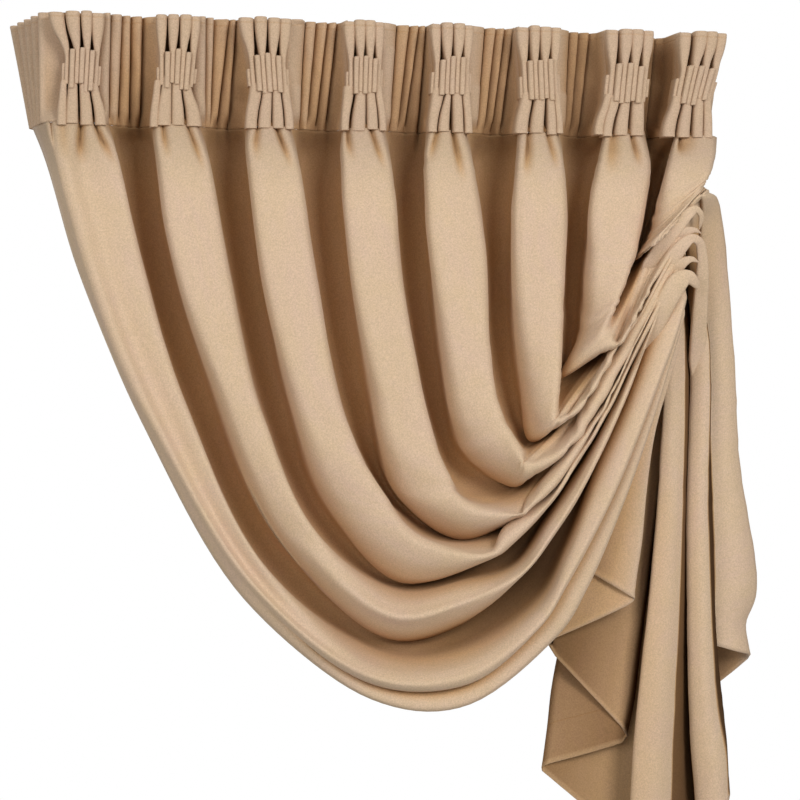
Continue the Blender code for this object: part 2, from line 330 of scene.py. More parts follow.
# Where the photograph was taken from
VIEWPOINT = (-540.6, -2543.2, -403.0)
# Each station's shade number is the painted shade of its valleys.
STATIONS = (
    Station("seam", -19, 49, 60, 1.8, Section.SEAM, Section.SEAM, Section.SEAM),
    Station("shoulder", -34, 92, 28, 1.5, Section.TUBE, Section.TUBE, Section.RIM),
    Station("upper", -45, 102, -3, 1.15, Section.TUBE, Section.TUBE, Section.RIM),
    Station("middle", -55, 104, -21, 1.0, Section.FALL, Section.FALL, Section.RIM),
    Station("lower", -70, 98, -40, 1.1, Section.SWEEP, Section.SWEEP, Section.RIM),
    Station("belly", -82, 86, -58, 1.5, Section.SHELF, Section.BELLY, Section.ROLL, 0.5),
    Station("vee", -86, 74, -66, 2.2, Section.VEE, Section.BELLY, Section.ROLL, 1.0),
    Station("rise_1", -86, 70, -64, 2.7, Section.SOFT, Section.SLOPE, Section.SLOPE, 1.0),
    Station("rise_2", -84, 66, -62, 2.7, Section.SOFT, Section.SLOPE, Section.SLOPE, 1.0),
    Station("rise_3", -80, 58, -58, 2.5, Section.SOFT, Section.SLOPE, Section.SLOPE, 1.0),
    Station("rise_4", -74, 48, -53, 2.2, Section.SOFT, Section.TILE, Section.SLOPE, 1.0),
    Station("rise_5", -66, 38, -48, 2.0, Section.SOFT, Section.TILE, Section.SLOPE, 1.0),
    Station("gather", -54, 28, -42, 1.6, Section.SOFT, Section.TILE, Section.SLOPE, 1.0),
)


@dataclass(frozen=True)
class FoldEdge:
    """A long edge of a fold, by its places at the stations, in mm.

    Attributes:
        name: Which edge it is. An outer edge is the one nearer the leading edge.
        seam: Its x on the seam.
        places: Its x and z at the other stations.
    """

    name: str
    seam: float
    places: tuple[tuple[float, float], ...]


FOLD_EDGES = (
    FoldEdge("leading", -466, (
        (-450, -185), (-412, -320), (-337, -508), (-208, -737), (-49, -866), (78, -876),
        (193, -794), (236, -730), (288, -616), (331, -504), (360, -416), (373, -375))),
    FoldEdge("outer_1", -447, (
        (-441, -186), (-407, -320), (-332, -506), (-200, -724), (-51, -845), (74, -846),
        (163, -779), (202, -722), (259, -622), (309, -513), (348, -423), (372, -356))),
    FoldEdge("inner_1", -378, (
        (-366, -177), (-334, -320), (-284, -490), (-184, -697), (-48, -802), (65, -800),
        (162, -738), (201, -667), (237, -582), (284, -488), (318, -409), (365, -318))),
    FoldEdge("outer_2", -320, (
        (-319, -170), (-302, -296), (-260, -442), (-173, -654), (-43, -782), (53, -773),
        (140, -711), (183, -660), (230, -588), (279, -494), (316, -411), (355, -321))),
    FoldEdge("inner_2", -263, (
        (-250, -189), (-227, -322), (-189, -497), (-120, -654), (-21, -727), (61, -716),
        (132, -694), (172, -640), (224, -566), (271, -490), (311, -407), (351, -325))),
    FoldEdge("outer_3", -202, (
        (-205, -174), (-188, -320), (-152, -486), (-106, -620), (-14, -717), (95, -689),
        (129, -669), (176, -622), (221, -560), (267, -488), (309, -407), (368, -309))),
    FoldEdge("inner_3", -147, (
        (-138, -184), (-120, -311), (-88, -488), (-33, -608), (15, -661), (95, -681),
        (120, -646), (177, -609), (228, -539), (264, -482), (305, -406), (364, -305))),
    FoldEdge("outer_4", -79, (
        (-84, -178), (-76, -313), (-49, -474), (-20, -602), (60, -663), (132, -637),
        (159, -619), (186, -596), (230, -534), (264, -479), (303, -404), (364, -307))),
    FoldEdge("inner_4", -25, (
        (-17, -195), (-7, -318), (17, -473), (52, -588), (79, -620), (137, -630),
        (149, -612), (172, -583), (240, -508), (270, -464), (307, -398), (360, -297))),
    FoldEdge("outer_5", 32, (
        (25, -182), (27, -280), (42, -422), (65, -545), (122, -595), (151, -585),
        (186, -562), (212, -541), (238, -506), (268, -461), (305, -397), (368, -296))),
    FoldEdge("inner_5", 82, (
        (89, -181), (104, -294), (107, -422), (118, -501), (142, -552), (146, -565),
        (182, -550), (205, -527), (227, -490), (253, -451), (296, -386), (361, -283))),
    FoldEdge("outer_6", 153, (
        (147, -174), (138, -246), (138, -370), (144, -473), (151, -537), (186, -521),
        (215, -500), (231, -481), (251, -453), (272, -418), (299, -387), (366, -285))),
    FoldEdge("inner_6", 207, (
        (210, -175), (212, -247), (205, -351), (197, -451), (189, -502), (191, -508),
        (207, -498), (226, -477), (246, -445), (267, -416), (298, -385), (364, -281))),
    FoldEdge("outer_7", 270, (
        (259, -169), (243, -232), (235, -311), (221, -403), (193, -457), (244, -427),
        (270, -416), (282, -400), (296, -377), (308, -358), (326, -330), (374, -274))),
    FoldEdge("inner_7", 325, (
        (329, -177), (320, -233), (303, -295), (276, -354), (257, -391), (260, -404),
        (267, -411), (280, -395), (292, -372), (306, -353), (322, -325), (370, -262))),
    FoldEdge("outer_8", 368, (
        (355, -169), (344, -197), (331, -234), (315, -276), (291, -306), (304, -296),
        (314, -288), (322, -282), (333, -274), (345, -263), (361, -248), (393, -224))),
    FoldEdge("inner_8", 426, (
        (420, -161), (413, -175), (405, -191), (398, -201), (398, -201), (394, -209),
        (395, -210), (397, -211), (398, -212), (400, -213), (402, -214), (404, -217))),
)


# The depth of the deepest creases
DEEP_CREASE = 14.0


@dataclass(frozen=True)
class Crease:
    """A crease that runs down from between two pleats and fades into a fold.

    Attributes:
        fold: The fold's number.
        start: How far across the fold's face it starts.
        end: How far across it ends.
        length: How long it is, in mm.
        depth: How deep it is at its start.
        width: Half its width there.
    """

    fold: int
    start: float
    end: float
    length: float
    depth: float = DEEP_CREASE
    width: float = 3.0


CREASES = (
    Crease(1, 0.54, 0.48, 62), Crease(1, 0.75, 0.92, 66), Crease(1, 0.25, 0.24, 60, 4.0, 5.0),
    Crease(2, 0.26, 0.24, 60, 10.0), Crease(2, 0.72, 0.80, 62, 11.0),
    Crease(3, 0.30, 0.21, 56, 10.0), Crease(3, 0.66, 0.80, 58, 13.0),
    Crease(4, 0.18, 0.26, 54, 12.0), Crease(4, 0.66, 0.82, 56, 11.0),
    Crease(5, 0.32, 0.15, 50, 10.0), Crease(5, 0.66, 0.71, 78, 13.0),
    Crease(6, 0.33, 0.26, 74, 13.0), Crease(6, 0.71, 0.82, 60, 10.0),
    Crease(7, 0.30, 0.30, 72, 9.0, 5.0), Crease(7, 0.68, 0.75, 52, 12.0),
    Crease(8, 0.22, 0.30, 34, 12.0), Crease(8, 0.40, 0.34, 40, 6.0, 6.0),
)


@dataclass(frozen=True)
class TailEdge:
    """An edge of the folded tail: x and y at each of its stations and the height of its hem, in mm.

    Attributes:
        carries_on: The fold edge that it carries on.
        places: Its x and y at the top, upper, lower, cuff and hem stations.
        hem: The height of the hem.
        bulge: How far the cloth from here to the next edge stands forward, as a share of its width.
        shades: How much painted shade that cloth gets where it starts and where it ends.
    """

    carries_on: str
    places: tuple[tuple[float, float], ...]
    hem: float
    bulge: float = 0.0
    shades: tuple[float, float] = (0.0, 0.0)


@dataclass(frozen=True)
class StripColumn:
    """One column of the strip along the leading edge, in mm where it is a distance.

    Attributes:
        share: How far it is from the edge to the first fold where the strip lies open.
        rise: How far it has come forward there, as a share of the way to the fold.
        under_share: How far across it is where the strip lies under the fold.
        under_back: How far back it lies there.
        dark: How much painted shade it gets there.
    """

    share: float
    rise: float
    under_share: float
    under_back: float
    dark: float


STRIP_COLUMNS = (
    StripColumn(0.0, 0.0, 0.0, 0.0, 0.1),
    StripColumn(0.5, 0.6, 0.45, -1.0, 0.15),
    StripColumn(0.92, 0.97, 1.1, 16.0, 2.5),
)
# The height of the tail's first station, and where its stations lie on the way to the hem
TAIL_TOP = -396.0
TAIL_SHARES = (0.0, 0.4, 0.8, 0.91, 1.0)
TAIL_EDGES = (
    TailEdge("leading", ((361, -14), (313, -12), (275, -10), (266, -8), (259, -6)), -719, 0.12, (1.5, 0.0)),
    TailEdge("inner_1", ((385, -10), (345, -14), (330, -12), (325, -10), (322, -8)), -757, 0.03, (0.7, 1.4)),
    TailEdge("outer_2", ((355, 10), (286, 16), (214, 14), (201, 12), (198, 12)), -813, -0.02, (2.5, 0.9)),
    TailEdge("inner_2", ((384, 26), (373, 34), (350, 34), (342, 32), (330, 30)), -951, 0.03, (2.0, 1.5)),
    TailEdge("outer_3", ((370, 30), (274, 44), (214, 46), (206, 46), (199, 46)), -986, -0.02, (1.9, 1.0)),
    TailEdge("outer_4", ((391, 36), (375, 40), (347, 44), (342, 46), (338, 48)), -1105, 0.0, (2.6, 2.2)),
    TailEdge("inner_4", ((367, 4), (347, -4), (317, -8), (313, -8), (308, -8)), -1081, 0.2, (0.5, 0.0)),
    TailEdge("inner_5", ((391, 4), (388, 2), (376, 0), (374, 0), (373, 0)), -1111, 0.0, (2.3, 2.5)),
    TailEdge("inner_6", ((431, 60), (436, 72), (444, 76), (451, 76), (456, 76)), -1121, 0.0, (2.5, 2.2)),
    TailEdge("outer_7", ((402, 12), (396, 10), (402, 10), (408, 10), (413, 10)), -1075, 0.3, (0.25, 0.0)),
    TailEdge("inner_7", ((424, 2), (427, 2), (443, 4), (457, 4), (460, 4)), -1031, 0.0, (2.8, 2.9)),
    TailEdge("outer_8", ((426, 24), (436, 24), (441, 24), (438, 24), (435, 24)), -823, 0.2, (0.1, 0.0)),
    TailEdge("inner_8", ((473, 30), (488, 38), (519, 44), (503, 46), (509, 44)), -845, -0.06, (0.4, 1.9)),
    TailEdge("side", ((459, 56), (461, 72), (461, 80), (460, 80), (460, 80)), -897),
)


@dataclass
class CurtainPanel:
    """The one cloth below the heading: it falls in folds, sweeps across, gathers and falls again as a tail.

    Attributes:
        heading: The heading above it, whose flutes run on into its valleys.
        heading_depth: How far below the top edge the seam is.
        cloth: The thickness of the cloth.
        hem_cloth: The thickness at the hem, where the cloth is turned up.
        hem_depth: How far above the hem it starts to grow thicker.
        side_tuck: How far back the side edge lies from the last fold.
        side_draw: How far in the side edge lies from the last fold.
        side_turn: How far out and back the cloth turns on the way, as shares of those two.
        roll_share: Where the cloth rolls over at the gather, as a share of the way to the tail's top.
        roll_shift: How the roll stands out there.
        side_roll_shift: How it stands out at the side edge.
        roll_shades: How much painted shade the roll gets as far as the seventh fold, and past the eighth.
        quiet_from: The first fold whose valley gets little painted shade where it rises to the gather.
        quiet: How much painted shade such a valley gets, as a share of the others.
        level_from: The station from which the last fold's inner edge keeps one depth.
        flute_reach: How far the heading's flutes run on below the seam.
        face_end: How far across a fold its face ends, where creases and shade stop.
        crease_span: How far across it the creases' places are measured.
        crease_spread: How much wider a crease is at its end.
        crease_fade: Where it starts to fade, as a share of its length.
        crease_shade: How much painted shade the deepest crease gets.
        start_shade: How much painted shade a fold's face gets at the seam, below the pleats.
        start_reach: How far down it that painted shade fades.
        valley_start: Where across a fold the heading's flutes start to show in the valley.
        valley_end: Where they end.
        tail_start: Where the tail's softness starts and is full, in stations from the roll at the gather.
        darkest: The most that the columns' own painted shade may come to.
        hem_light: How much painted shade the valleys keep at the hem, as a share of what they have above it,
            so a lighter rim is painted along the hem.
        hem_reach: How far above the hem that change starts and ends.
        ripple: The height of the soft waves in the cloth.
        ripple_reach: How far below the seam the waves start and are full.
        tail_calm: How much lower the waves are in the tail.
        tail_softness: How many times the tail's folds are rounded off.
        rows_between: How many steps of cloth lie between one station and the next.
        face_steps: How many steps lie between the columns of a fold's face.
        valley_steps: How many steps lie between the columns of its valley.
        edge_steps: How many steps lie between the columns of the strip and the side edge.
        names: The names of all columns, filled in as they are made.
        spots: The fold and the column number that each has, or 0 and -1 outside the folds.
    """

    heading: "Heading"
    heading_depth: float = 138.3
    cloth: float = 1.8
    hem_cloth: float = 4.4
    hem_depth: float = 9.0
    side_tuck: float = 45.0
    side_draw: float = 12.0
    side_turn: tuple[float, float] = (0.35, 0.4)
    roll_share: float = 0.3
    roll_shift: tuple[float, float, float] = (7.0, 26.0, -6.0)
    side_roll_shift: tuple[float, float, float] = (18.0, 30.0, 30.0)
    roll_shades: tuple[float, float] = (2.5, 0.3)
    quiet_from: int = 5
    quiet: float = 0.1
    level_from: int = 3
    flute_reach: float = 40.0
    face_end: float = 0.97
    crease_span: float = 0.94
    crease_spread: float = 0.9
    crease_fade: float = 0.3
    crease_shade: float = 1.7
    start_shade: float = 0.1
    start_reach: float = 75.0
    valley_start: tuple[float, float] = (1.02, 1.12)
    valley_end: tuple[float, float] = (1.9, 2.0)
    tail_start: tuple[float, float] = (-0.5, 0.6)
    darkest: float = 3.0
    hem_light: float = 0.45
    hem_reach: tuple[float, float] = (1.0, 8.0)
    ripple: float = 1.1
    ripple_reach: tuple[float, float] = (10.0, 90.0)
    tail_calm: float = 0.5
    tail_softness: int = 1
    rows_between: tuple[int, ...] = (14, 9, 11, 12, 11, 9, 8, 8, 8, 7, 7, 7, 6, 6, 12, 12, 6, 6)
    face_steps: tuple[int, ...] = (1, 3, 7, 7, 3, 1)
    valley_steps: tuple[int, ...] = (1, 1, 2, 2, 3, 2, 1, 1)
    edge_steps: int = 2
    names: list[str] = field(default_factory=list)
    spots: list[tuple[int, int]] = field(default_factory=list)

    def edge_paths(self) -> dict[str, np.ndarray]:
        """The fold edges by name, as arrays of x and z at each station."""
        return {edge.name: np.array([(edge.seam, -self.heading_depth), *edge.places], float)
                for edge in FOLD_EDGES}

    @staticmethod
    def between(across: float, corners: Sequence[np.ndarray]) -> np.ndarray:
        """A place by how far across it is between the corners of a fold.

        Args:
            across: 0 to 1 on the face, 1 to 2 over the valley and past 2 on the next fold.
            corners: The outer and inner corners of this fold and of the next one, as x and z.

        Returns:
            The place's x and z.
        """
        first = min(int(across), 2)
        return corners[first] + (corners[first + 1] - corners[first]) * (across - first)

    def fold_columns(self, fold: int, paths: dict[str, np.ndarray]) -> np.ndarray:
        """The columns of one fold at every station of the swag.

        Args:
            fold: The fold's number, from 1 at the leading edge.
            paths: The fold edges by name.

        Returns:
            Places with their painted shade, by column and station.
        """
        outer, inner = paths[f"outer_{fold}"], paths[f"inner_{fold}"]
        beyond = paths.get(f"outer_{fold + 1}", inner)
        beyond_inner = paths.get(f"inner_{fold + 1}", beyond)
        columns = np.zeros((len(Section.FALL.value), len(STATIONS), 4))
        for n, station in enumerate(STATIONS):
            corners = (outer[n], inner[n], beyond[n], beyond_inner[n])
            rising = station.name.startswith(("rise", "gather"))
            # Folds that rise late get little painted shade in their valleys.
            quiet = self.quiet if fold >= self.quiet_from and rising else 1.0
            for c, (across, share) in enumerate(station.section_of(fold).value):
                x, z = self.between(across, corners)
                columns[c, n] = station.place(x, z, share)
                columns[c, n, 3] *= quiet
        return columns

    @staticmethod
    def leading_columns(paths: dict[str, np.ndarray]) -> np.ndarray:
        """The turned strip along the leading edge, from its edge to where it meets the first fold.

        Args:
            paths: The fold edges by name.

        Returns:
            Places with how much painted shade they get, by column and station.
        """
        columns = np.zeros((len(STRIP_COLUMNS), len(STATIONS), 4))
        for n, station in enumerate(STATIONS):
            edge, outer = paths["leading"][n], paths["outer_1"][n]
            front = station.crest + SHADE_FROM * station.depth
            under = station.edge_under
            for c, strip in enumerate(STRIP_COLUMNS):
                x, z = edge + (outer - edge) * (strip.share + (strip.under_share - strip.share) * under)
                open_y = station.edge + (front - station.edge) * strip.rise
                y = open_y + (station.edge + strip.under_back - open_y) * under
                columns[c, n] = x, y, z, strip.dark * under
        return columns

    def last_fold(self, columns: np.ndarray) -> np.ndarray:
        """The face of the last fold, whose inner edge keeps one depth from where the folds turn.

        Args:
            columns: The fold's columns, as those of the other folds.

        Returns:
            The columns of its face.
        """
        face = columns[:INNER_COLUMN + 1]
        crests = np.array([station.crest for station in STATIONS])
        ease = np.linspace(0.0, 1.0, INNER_COLUMN + 1)[:, None] * (np.arange(len(crests)) >= self.level_from)
        face[..., 1] += ease * (crests[-1] - crests)
        return face

    def swag_columns(self) -> np.ndarray:
        """Makes every column of the cloth from the seam to the gather, and names them.

        Returns:
            Places with how much painted shade they get, by column and station.
        """
        paths = self.edge_paths()
        folds = (len(FOLD_EDGES) - 1) // 2
        groups = [self.leading_columns(paths)]
        self.names = ["leading", "strip", "strip_end"]
        self.spots = [(0, -1)] * len(STRIP_COLUMNS)
        for fold in range(1, folds + 1):
            columns = self.fold_columns(fold, paths)
            if fold == folds:
                columns = self.last_fold(columns)
            groups.append(columns)
            special = {0: f"outer_{fold}", INNER_COLUMN: f"inner_{fold}"}
            self.names += [special.get(c, f"column_{c}_{fold}") for c in range(len(columns))]
            self.spots += [(fold, c) for c in range(len(columns))]
        last = groups[-1][-1]
        side = last + np.array((-self.side_draw, self.side_tuck, 0.0, 0.0))
        out, back = self.side_turn
        turn = last + np.array((out * self.side_draw, back * self.side_tuck, 0.0, 0.0))
        groups.append(np.stack([turn, side]))
        self.names += ["side_turn", "side"]
        self.spots += [(0, -1)] * 2
        return np.concatenate(groups)

    def tail_columns(self) -> np.ndarray:
        """Spreads every column of the cloth between the tail's edges.

        Returns:
            Places with how much painted shade they get, by column and tail station.
        """
        corners = [self.names.index(edge.carries_on) for edge in TAIL_EDGES]
        index = np.arange(len(self.names))
        panel = np.clip(np.searchsorted(corners, index, side="right") - 1, 0, len(corners) - 2)
        share = (index - np.array(corners)[panel]) / np.diff(corners)[panel]
        arch = np.sin(np.pi * share)
        bulges = np.array([edge.bulge for edge in TAIL_EDGES])[panel]
        # Painted shade of each panel of the tail, from its start to its end.
        darks = np.array([edge.shades for edge in TAIL_EDGES])[panel]
        shades = darks[:, 0] + (darks[:, 1] - darks[:, 0]) * share
        stations = []
        for n, fall in enumerate(TAIL_SHARES):
            places = np.array([(*edge.places[n], TAIL_TOP + (edge.hem - TAIL_TOP) * fall)
                               for edge in TAIL_EDGES])
            columns = np.stack([np.interp(index, corners, places[:, i]) for i in range(3)], axis=1)
            columns[:, 1] -= bulges * arch * np.abs(np.diff(places[:, 0]))[panel]
            stations.append(np.concatenate([columns, shades[:, None]], axis=1))
        return np.stack(stations, axis=1)

    def control_columns(self) -> np.ndarray:
        """Joins the swag's columns, the roll at the gather and the tail's columns.

        Returns:
            Places with how much painted shade they get, by column and station, from the seam to the hem.
        """
        swag = self.swag_columns()
        tail = self.tail_columns()
        roll = swag[:, -1:] * (1 - self.roll_share) + tail[:, :1] * self.roll_share
        last_fold = [self.names.index("outer_8"), self.names.index("inner_8")]
        sideways = np.interp(np.arange(len(self.names)), last_fold, (0.0, 1.0))[:, None, None]
        shift = np.array(self.roll_shift) * (1 - sideways) + np.array(self.side_roll_shift) * sideways
        roll[..., :3] += shift
        # Painted shade on the roll: dark as far as the seventh fold, light past the eighth.
        lit_from = [self.names.index("inner_7"), self.names.index("outer_8")]
        roll[..., 3] = np.interp(np.arange(len(self.names)), lit_from, self.roll_shades)[:, None]
        return np.concatenate([swag, roll, tail], axis=1)

    def steps(self) -> list[int]:
        """How many steps lie between each column and the next."""
        fold_steps = (*self.face_steps, *self.valley_steps)
        return [fold_steps[column] if fold else self.edge_steps for fold, column in self.spots[:-1]]

    def across_faces(self, columns: np.ndarray) -> tuple[np.ndarray, np.ndarray]:
        """Which fold each column belongs to, and how far across it is.

        Args:
            columns: Where the columns are, counting the named ones from 0.

        Returns:
            The folds' numbers, and how far across each column is, over 1 in a valley.
        """
        outside, apart = 1.5, 0.03
        places = []
        for fold, column in self.spots:
            across = Section.FALL.value[column][0] if fold else outside
            if column > INNER_COLUMN:
                across = max(across, 1.0 + apart * (column - INNER_COLUMN))
            places.append(across)
        index = np.arange(len(places))
        first = np.clip(columns.astype(int), 0, len(index) - 1)
        return np.array([fold for fold, _ in self.spots])[first], np.interp(columns, index, places)

    def creased(self, surface: np.ndarray, fold: np.ndarray, across: np.ndarray) -> np.ndarray:
        """Presses the creases below the pleats into the cloth.

        Args:
            surface: The cloth's places, which are changed.
            fold: The fold that each column belongs to.
            across: How far across that fold each column is.

        Returns:
            How much painted shade each place gets from them and near the seam.
        """
        down = arc_lengths(surface, 0)
        on_face = (fold > 0) & (across <= self.face_end)
        # Painted shade on each fold's face just below the seam, under the pleats.
        dark = self.start_shade * (1 - smooth(0.0, self.start_reach, down)) * on_face
        for crease in CREASES:
            mine = (fold == crease.fold) & on_face
            columns = np.nonzero((fold == crease.fold) & (across <= self.crease_span))[0]
            span = np.linalg.norm(surface[:, columns[-1]] - surface[:, columns[0]], axis=-1)[:, None]
            face = span / self.crease_span
            share = np.clip(down[:, columns].mean(axis=1, keepdims=True) / crease.length, 0.0, 1.0)
            aim = crease.start + (crease.end - crease.start) * share
            width = crease.width * (1 + self.crease_spread * share)
            fade = 1 - smooth(self.crease_fade, 1.0, share)
            groove = np.exp(-((across - aim) * face / width) ** 2) * fade * mine
            surface[..., 1] += crease.depth * groove
            # Painted shade in each crease, darker for deeper creases.
            dark = dark + self.crease_shade * crease.depth / DEEP_CREASE * groove
        return dark

    def surface(self) -> tuple[np.ndarray, dict[str, np.ndarray]]:
        """The cloth's surface and the numbers that its finish needs.

        Returns:
            Places by row and column, and for each place how far from the hem and how much painted shade it
            gets.
        """
        controls = self.control_columns().transpose(1, 0, 2)
        rows = through(controls, spread(self.rows_between))
        columns = spread(self.steps())
        both = through(rows.transpose(1, 0, 2), columns).transpose(1, 0, 2)
        # The fourth number of each place is its painted shade.
        surface, share = both[..., :3].copy(), np.clip(both[..., 3], 0.0, self.darkest)
        fold, across = self.across_faces(columns)
        past_roll = spread(self.rows_between) - len(STATIONS)
        in_tail = smooth(*self.tail_start, past_roll)[:, None, None]
        for _ in range(self.tail_softness):
            rounded = surface.copy()
            rounded[:, 1:-1] = 0.5 * surface[:, 1:-1] + 0.25 * (surface[:, :-2] + surface[:, 2:])
            surface += (rounded - surface) * in_tail
        share += self.creased(surface, fold, across)
        down = arc_lengths(surface, 0)
        over = arc_lengths(surface, 1)
        in_valley = smooth(*self.valley_start, across) * (1 - smooth(*self.valley_end, across)) * (fold > 0)
        flutes = self.heading.gap_depth(surface[0, :, 0], self.heading_depth) + self.heading.seam_back
        fade = 1 - smooth(0.0, self.flute_reach, down)
        surface[..., 1] += (flutes - surface[0, :, 1]) * in_valley * fade
        waves = Ripples(seed=5, longest=150, shortest=40, stretch=5.0).at(over, down)
        calm = 1 - self.tail_calm * in_tail[..., 0]
        height = self.ripple * calm * waves * smooth(*self.ripple_reach, down)
        surface += normals_of(surface) * height[..., None]
        hem = down[-1:] - down
        # Less painted shade right at the hem, which paints a lighter rim along it.
        share *= self.hem_light + (1 - self.hem_light) * smooth(*self.hem_reach, hem)
        return surface, {"from_hem": hem * MM, "hollow": share}

    def thickness(self, surface: np.ndarray) -> np.ndarray:
        """The cloth's thickness at each place, which grows at the hem.

        Args:
            surface: The cloth's places.

        Returns:
            One thickness for each place.
        """
        down = arc_lengths(surface, 0)
        from_hem = down[-1:] - down
        return self.cloth + (self.hem_cloth - self.cloth) * smooth(self.hem_depth, 1.0, from_hem)

    def build(self, knuckles: bpy.types.Object) -> bpy.types.Object:
        """Makes the cloth, hides the model's panel and hangs the cloth from the root.

        Args:
            knuckles: The piece with the folds' rounded ends. Not used.

        Returns:
            The cloth.
        """
        surface, values = self.surface()
        panel = ClothMesh("velvet_panel", surface, self.thickness(surface), values).object
        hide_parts("curtain_panel")
        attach(panel, "root")
        self.heading.seam_line = surface[0, :, :2]
        return panel


# The gather

@dataclass(frozen=True)
class Knuckle:
    """The rounded end of a fold at the gather.

    Attributes:
        name: Which one it is.
        path: Places along its middle as x, y and z, with half its width there, in mm.
    """

    name: str
    path: tuple[tuple[float, float, float, float], ...]


KNUCKLES = (
    Knuckle("loop", (
        (316, -36, -327, 8), (330, -47, -302, 9.5), (345, -55, -278, 11), (360, -60, -256, 10),
        (372, -63, -244, 7.5), (382, -62, -239, 5), (391, -57, -246, 3.6), (393, -46, -264, 3))),
    Knuckle("flap", (
        (344, -40, -310, 7), (356, -52, -286, 8), (368, -60, -269, 6.5), (381, -61, -266, 3.4),
        (392, -56, -270, 1.5))),
    Knuckle("arch", (
        (322, -36, -362, 8), (336, -50, -331, 9.5), (351, -59, -303, 10.5), (364, -64, -285, 8.5),
        (376, -64, -277, 6), (387, -60, -281, 6), (395, -50, -298, 7), (400, -37, -328, 9),
        (404, -19, -367, 10.5), (409, 2, -416, 11), (411, 16, -470, 11))),
    Knuckle("low_flap", (
        (336, -40, -357, 7), (350, -53, -329, 8), (363, -61, -310, 7), (376, -61, -304, 4),
        (389, -56, -308, 1.5))),
    Knuckle("corner", (
        (318, -38, -427, 10), (331, -53, -388, 12.5), (345, -63, -352, 14), (358, -68, -332, 13),
        (370, -68, -328, 9.5), (380, -64, -334, 6.5), (389, -57, -343, 3.5))),
)


@dataclass
class Gather:
    """The knuckles of cloth where the folds of the swag turn over into the tail.

    Attributes:
        fullness: How thick each is, as a share of its width.
        squareness: The power that flattens its front, where 1 would be round.
        steps: How many steps go round it.
        length_steps: How many steps lie between the places along it.
        end_steps: How many of them its rounded ends take.
        back_shade: How much painted shade its back gets.
    """

    fullness: float = 0.5
    squareness: float = 0.6
    steps: int = 24
    length_steps: int = 8
    end_steps: int = 5
    back_shade: float = 1.8

    def tube(self, knuckle: Knuckle) -> tuple[np.ndarray, np.ndarray]:
        """The places round one knuckle, and how dark each is.

        Args:
            knuckle: The knuckle.

        Returns:
            Places by ring and step, and the painted shade of each.
        """
        table = np.array(knuckle.path)
        line = through(table, spread([self.length_steps] * (len(table) - 1)))
        ahead = np.gradient(line[:, :3], axis=0)
        side = np.cross(ahead, (0.0, 1.0, 0.0))
        side /= np.linalg.norm(side, axis=1, keepdims=True)
        forward = np.array((0.0, -1.0, 0.0))
        ends = np.minimum(np.arange(len(line)), np.arange(len(line))[::-1]) / self.end_steps
        half = line[:, 3] * np.sqrt(np.clip(ends, 0.02, 1.0))
        turns = np.linspace(0.0, math.tau, self.steps, endpoint=False)
        wide, thick = (np.sign(part) * np.abs(part) ** self.squareness
                       for part in (np.cos(turns), np.sin(turns)))
        ring = side[:, None] * wide[:, None] + forward * (self.fullness * thick)[:, None]
        # Painted shade on the knuckle's back side.
        dark = np.broadcast_to(self.back_shade * np.clip(-np.sin(turns), 0.0, 1.0), ring.shape[:2])
        return line[:, None, :3] + ring * half[:, None, None], dark

    def build(self) -> bpy.types.Object:
        """Makes the knuckles as one piece.

        Returns:
            The piece.
        """
        points, faces, darks, cloths = [], [], [], []
        for knuckle in KNUCKLES:
            places, dark = self.tube(knuckle)
            count, round_steps = places.shape[:2]
            index = sum(map(len, points)) + np.arange(count * round_steps).reshape(count, round_steps)
            along = np.roll(index, -1, axis=1)
            sides = np.stack([index[:-1], index[1:], along[1:], along[:-1]], axis=-1)
            faces += [*sides.reshape(-1, 4).tolist(), index[0, ::-1].tolist(), index[-1].tolist()]
            points.append(places.reshape(-1, 3))
            darks.append(dark.ravel())
            cloth = np.stack([arc_lengths(places, 1), arc_lengths(places, 0), 0 * dark], axis=-1)
            cloths.append(cloth.reshape(-1, 3))
        mesh = bpy.data.meshes.new("gather_knuckles")
        mesh.from_pydata((np.concatenate(points) * MM).tolist(), [], faces)
        mesh.shade_smooth()
        keep(mesh, "hollow", np.concatenate(darks))
        keep(mesh, "cloth", np.concatenate(cloths) * MM)
        knuckles = placed(mesh.name, mesh)
        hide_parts("curtain_panel")
        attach(knuckles, "root")
        return knuckles


# The heading

@dataclass(frozen=True)
class Cluster:
    """One pinch cluster, measured in mm.

    Attributes:
        top: The left and right ends of its four upper pleats at the top edge, in turn.
        band: The left and right ends of its band where it starts.
        foot: The same where it ends.
        notches: How far down the three square ribs start, which stand between the upper pleats.
        ends: How far down the three ribs end.
        fins: The left and right ends of each lower pleat, at the band's foot and then on the seam.
    """

    top: tuple[float, ...]
    band: tuple[float, float]
    foot: tuple[float, float]
    notches: tuple[float, float, float]
    ends: tuple[float, float, float]
    fins: tuple[tuple[float, float, float, float], ...]


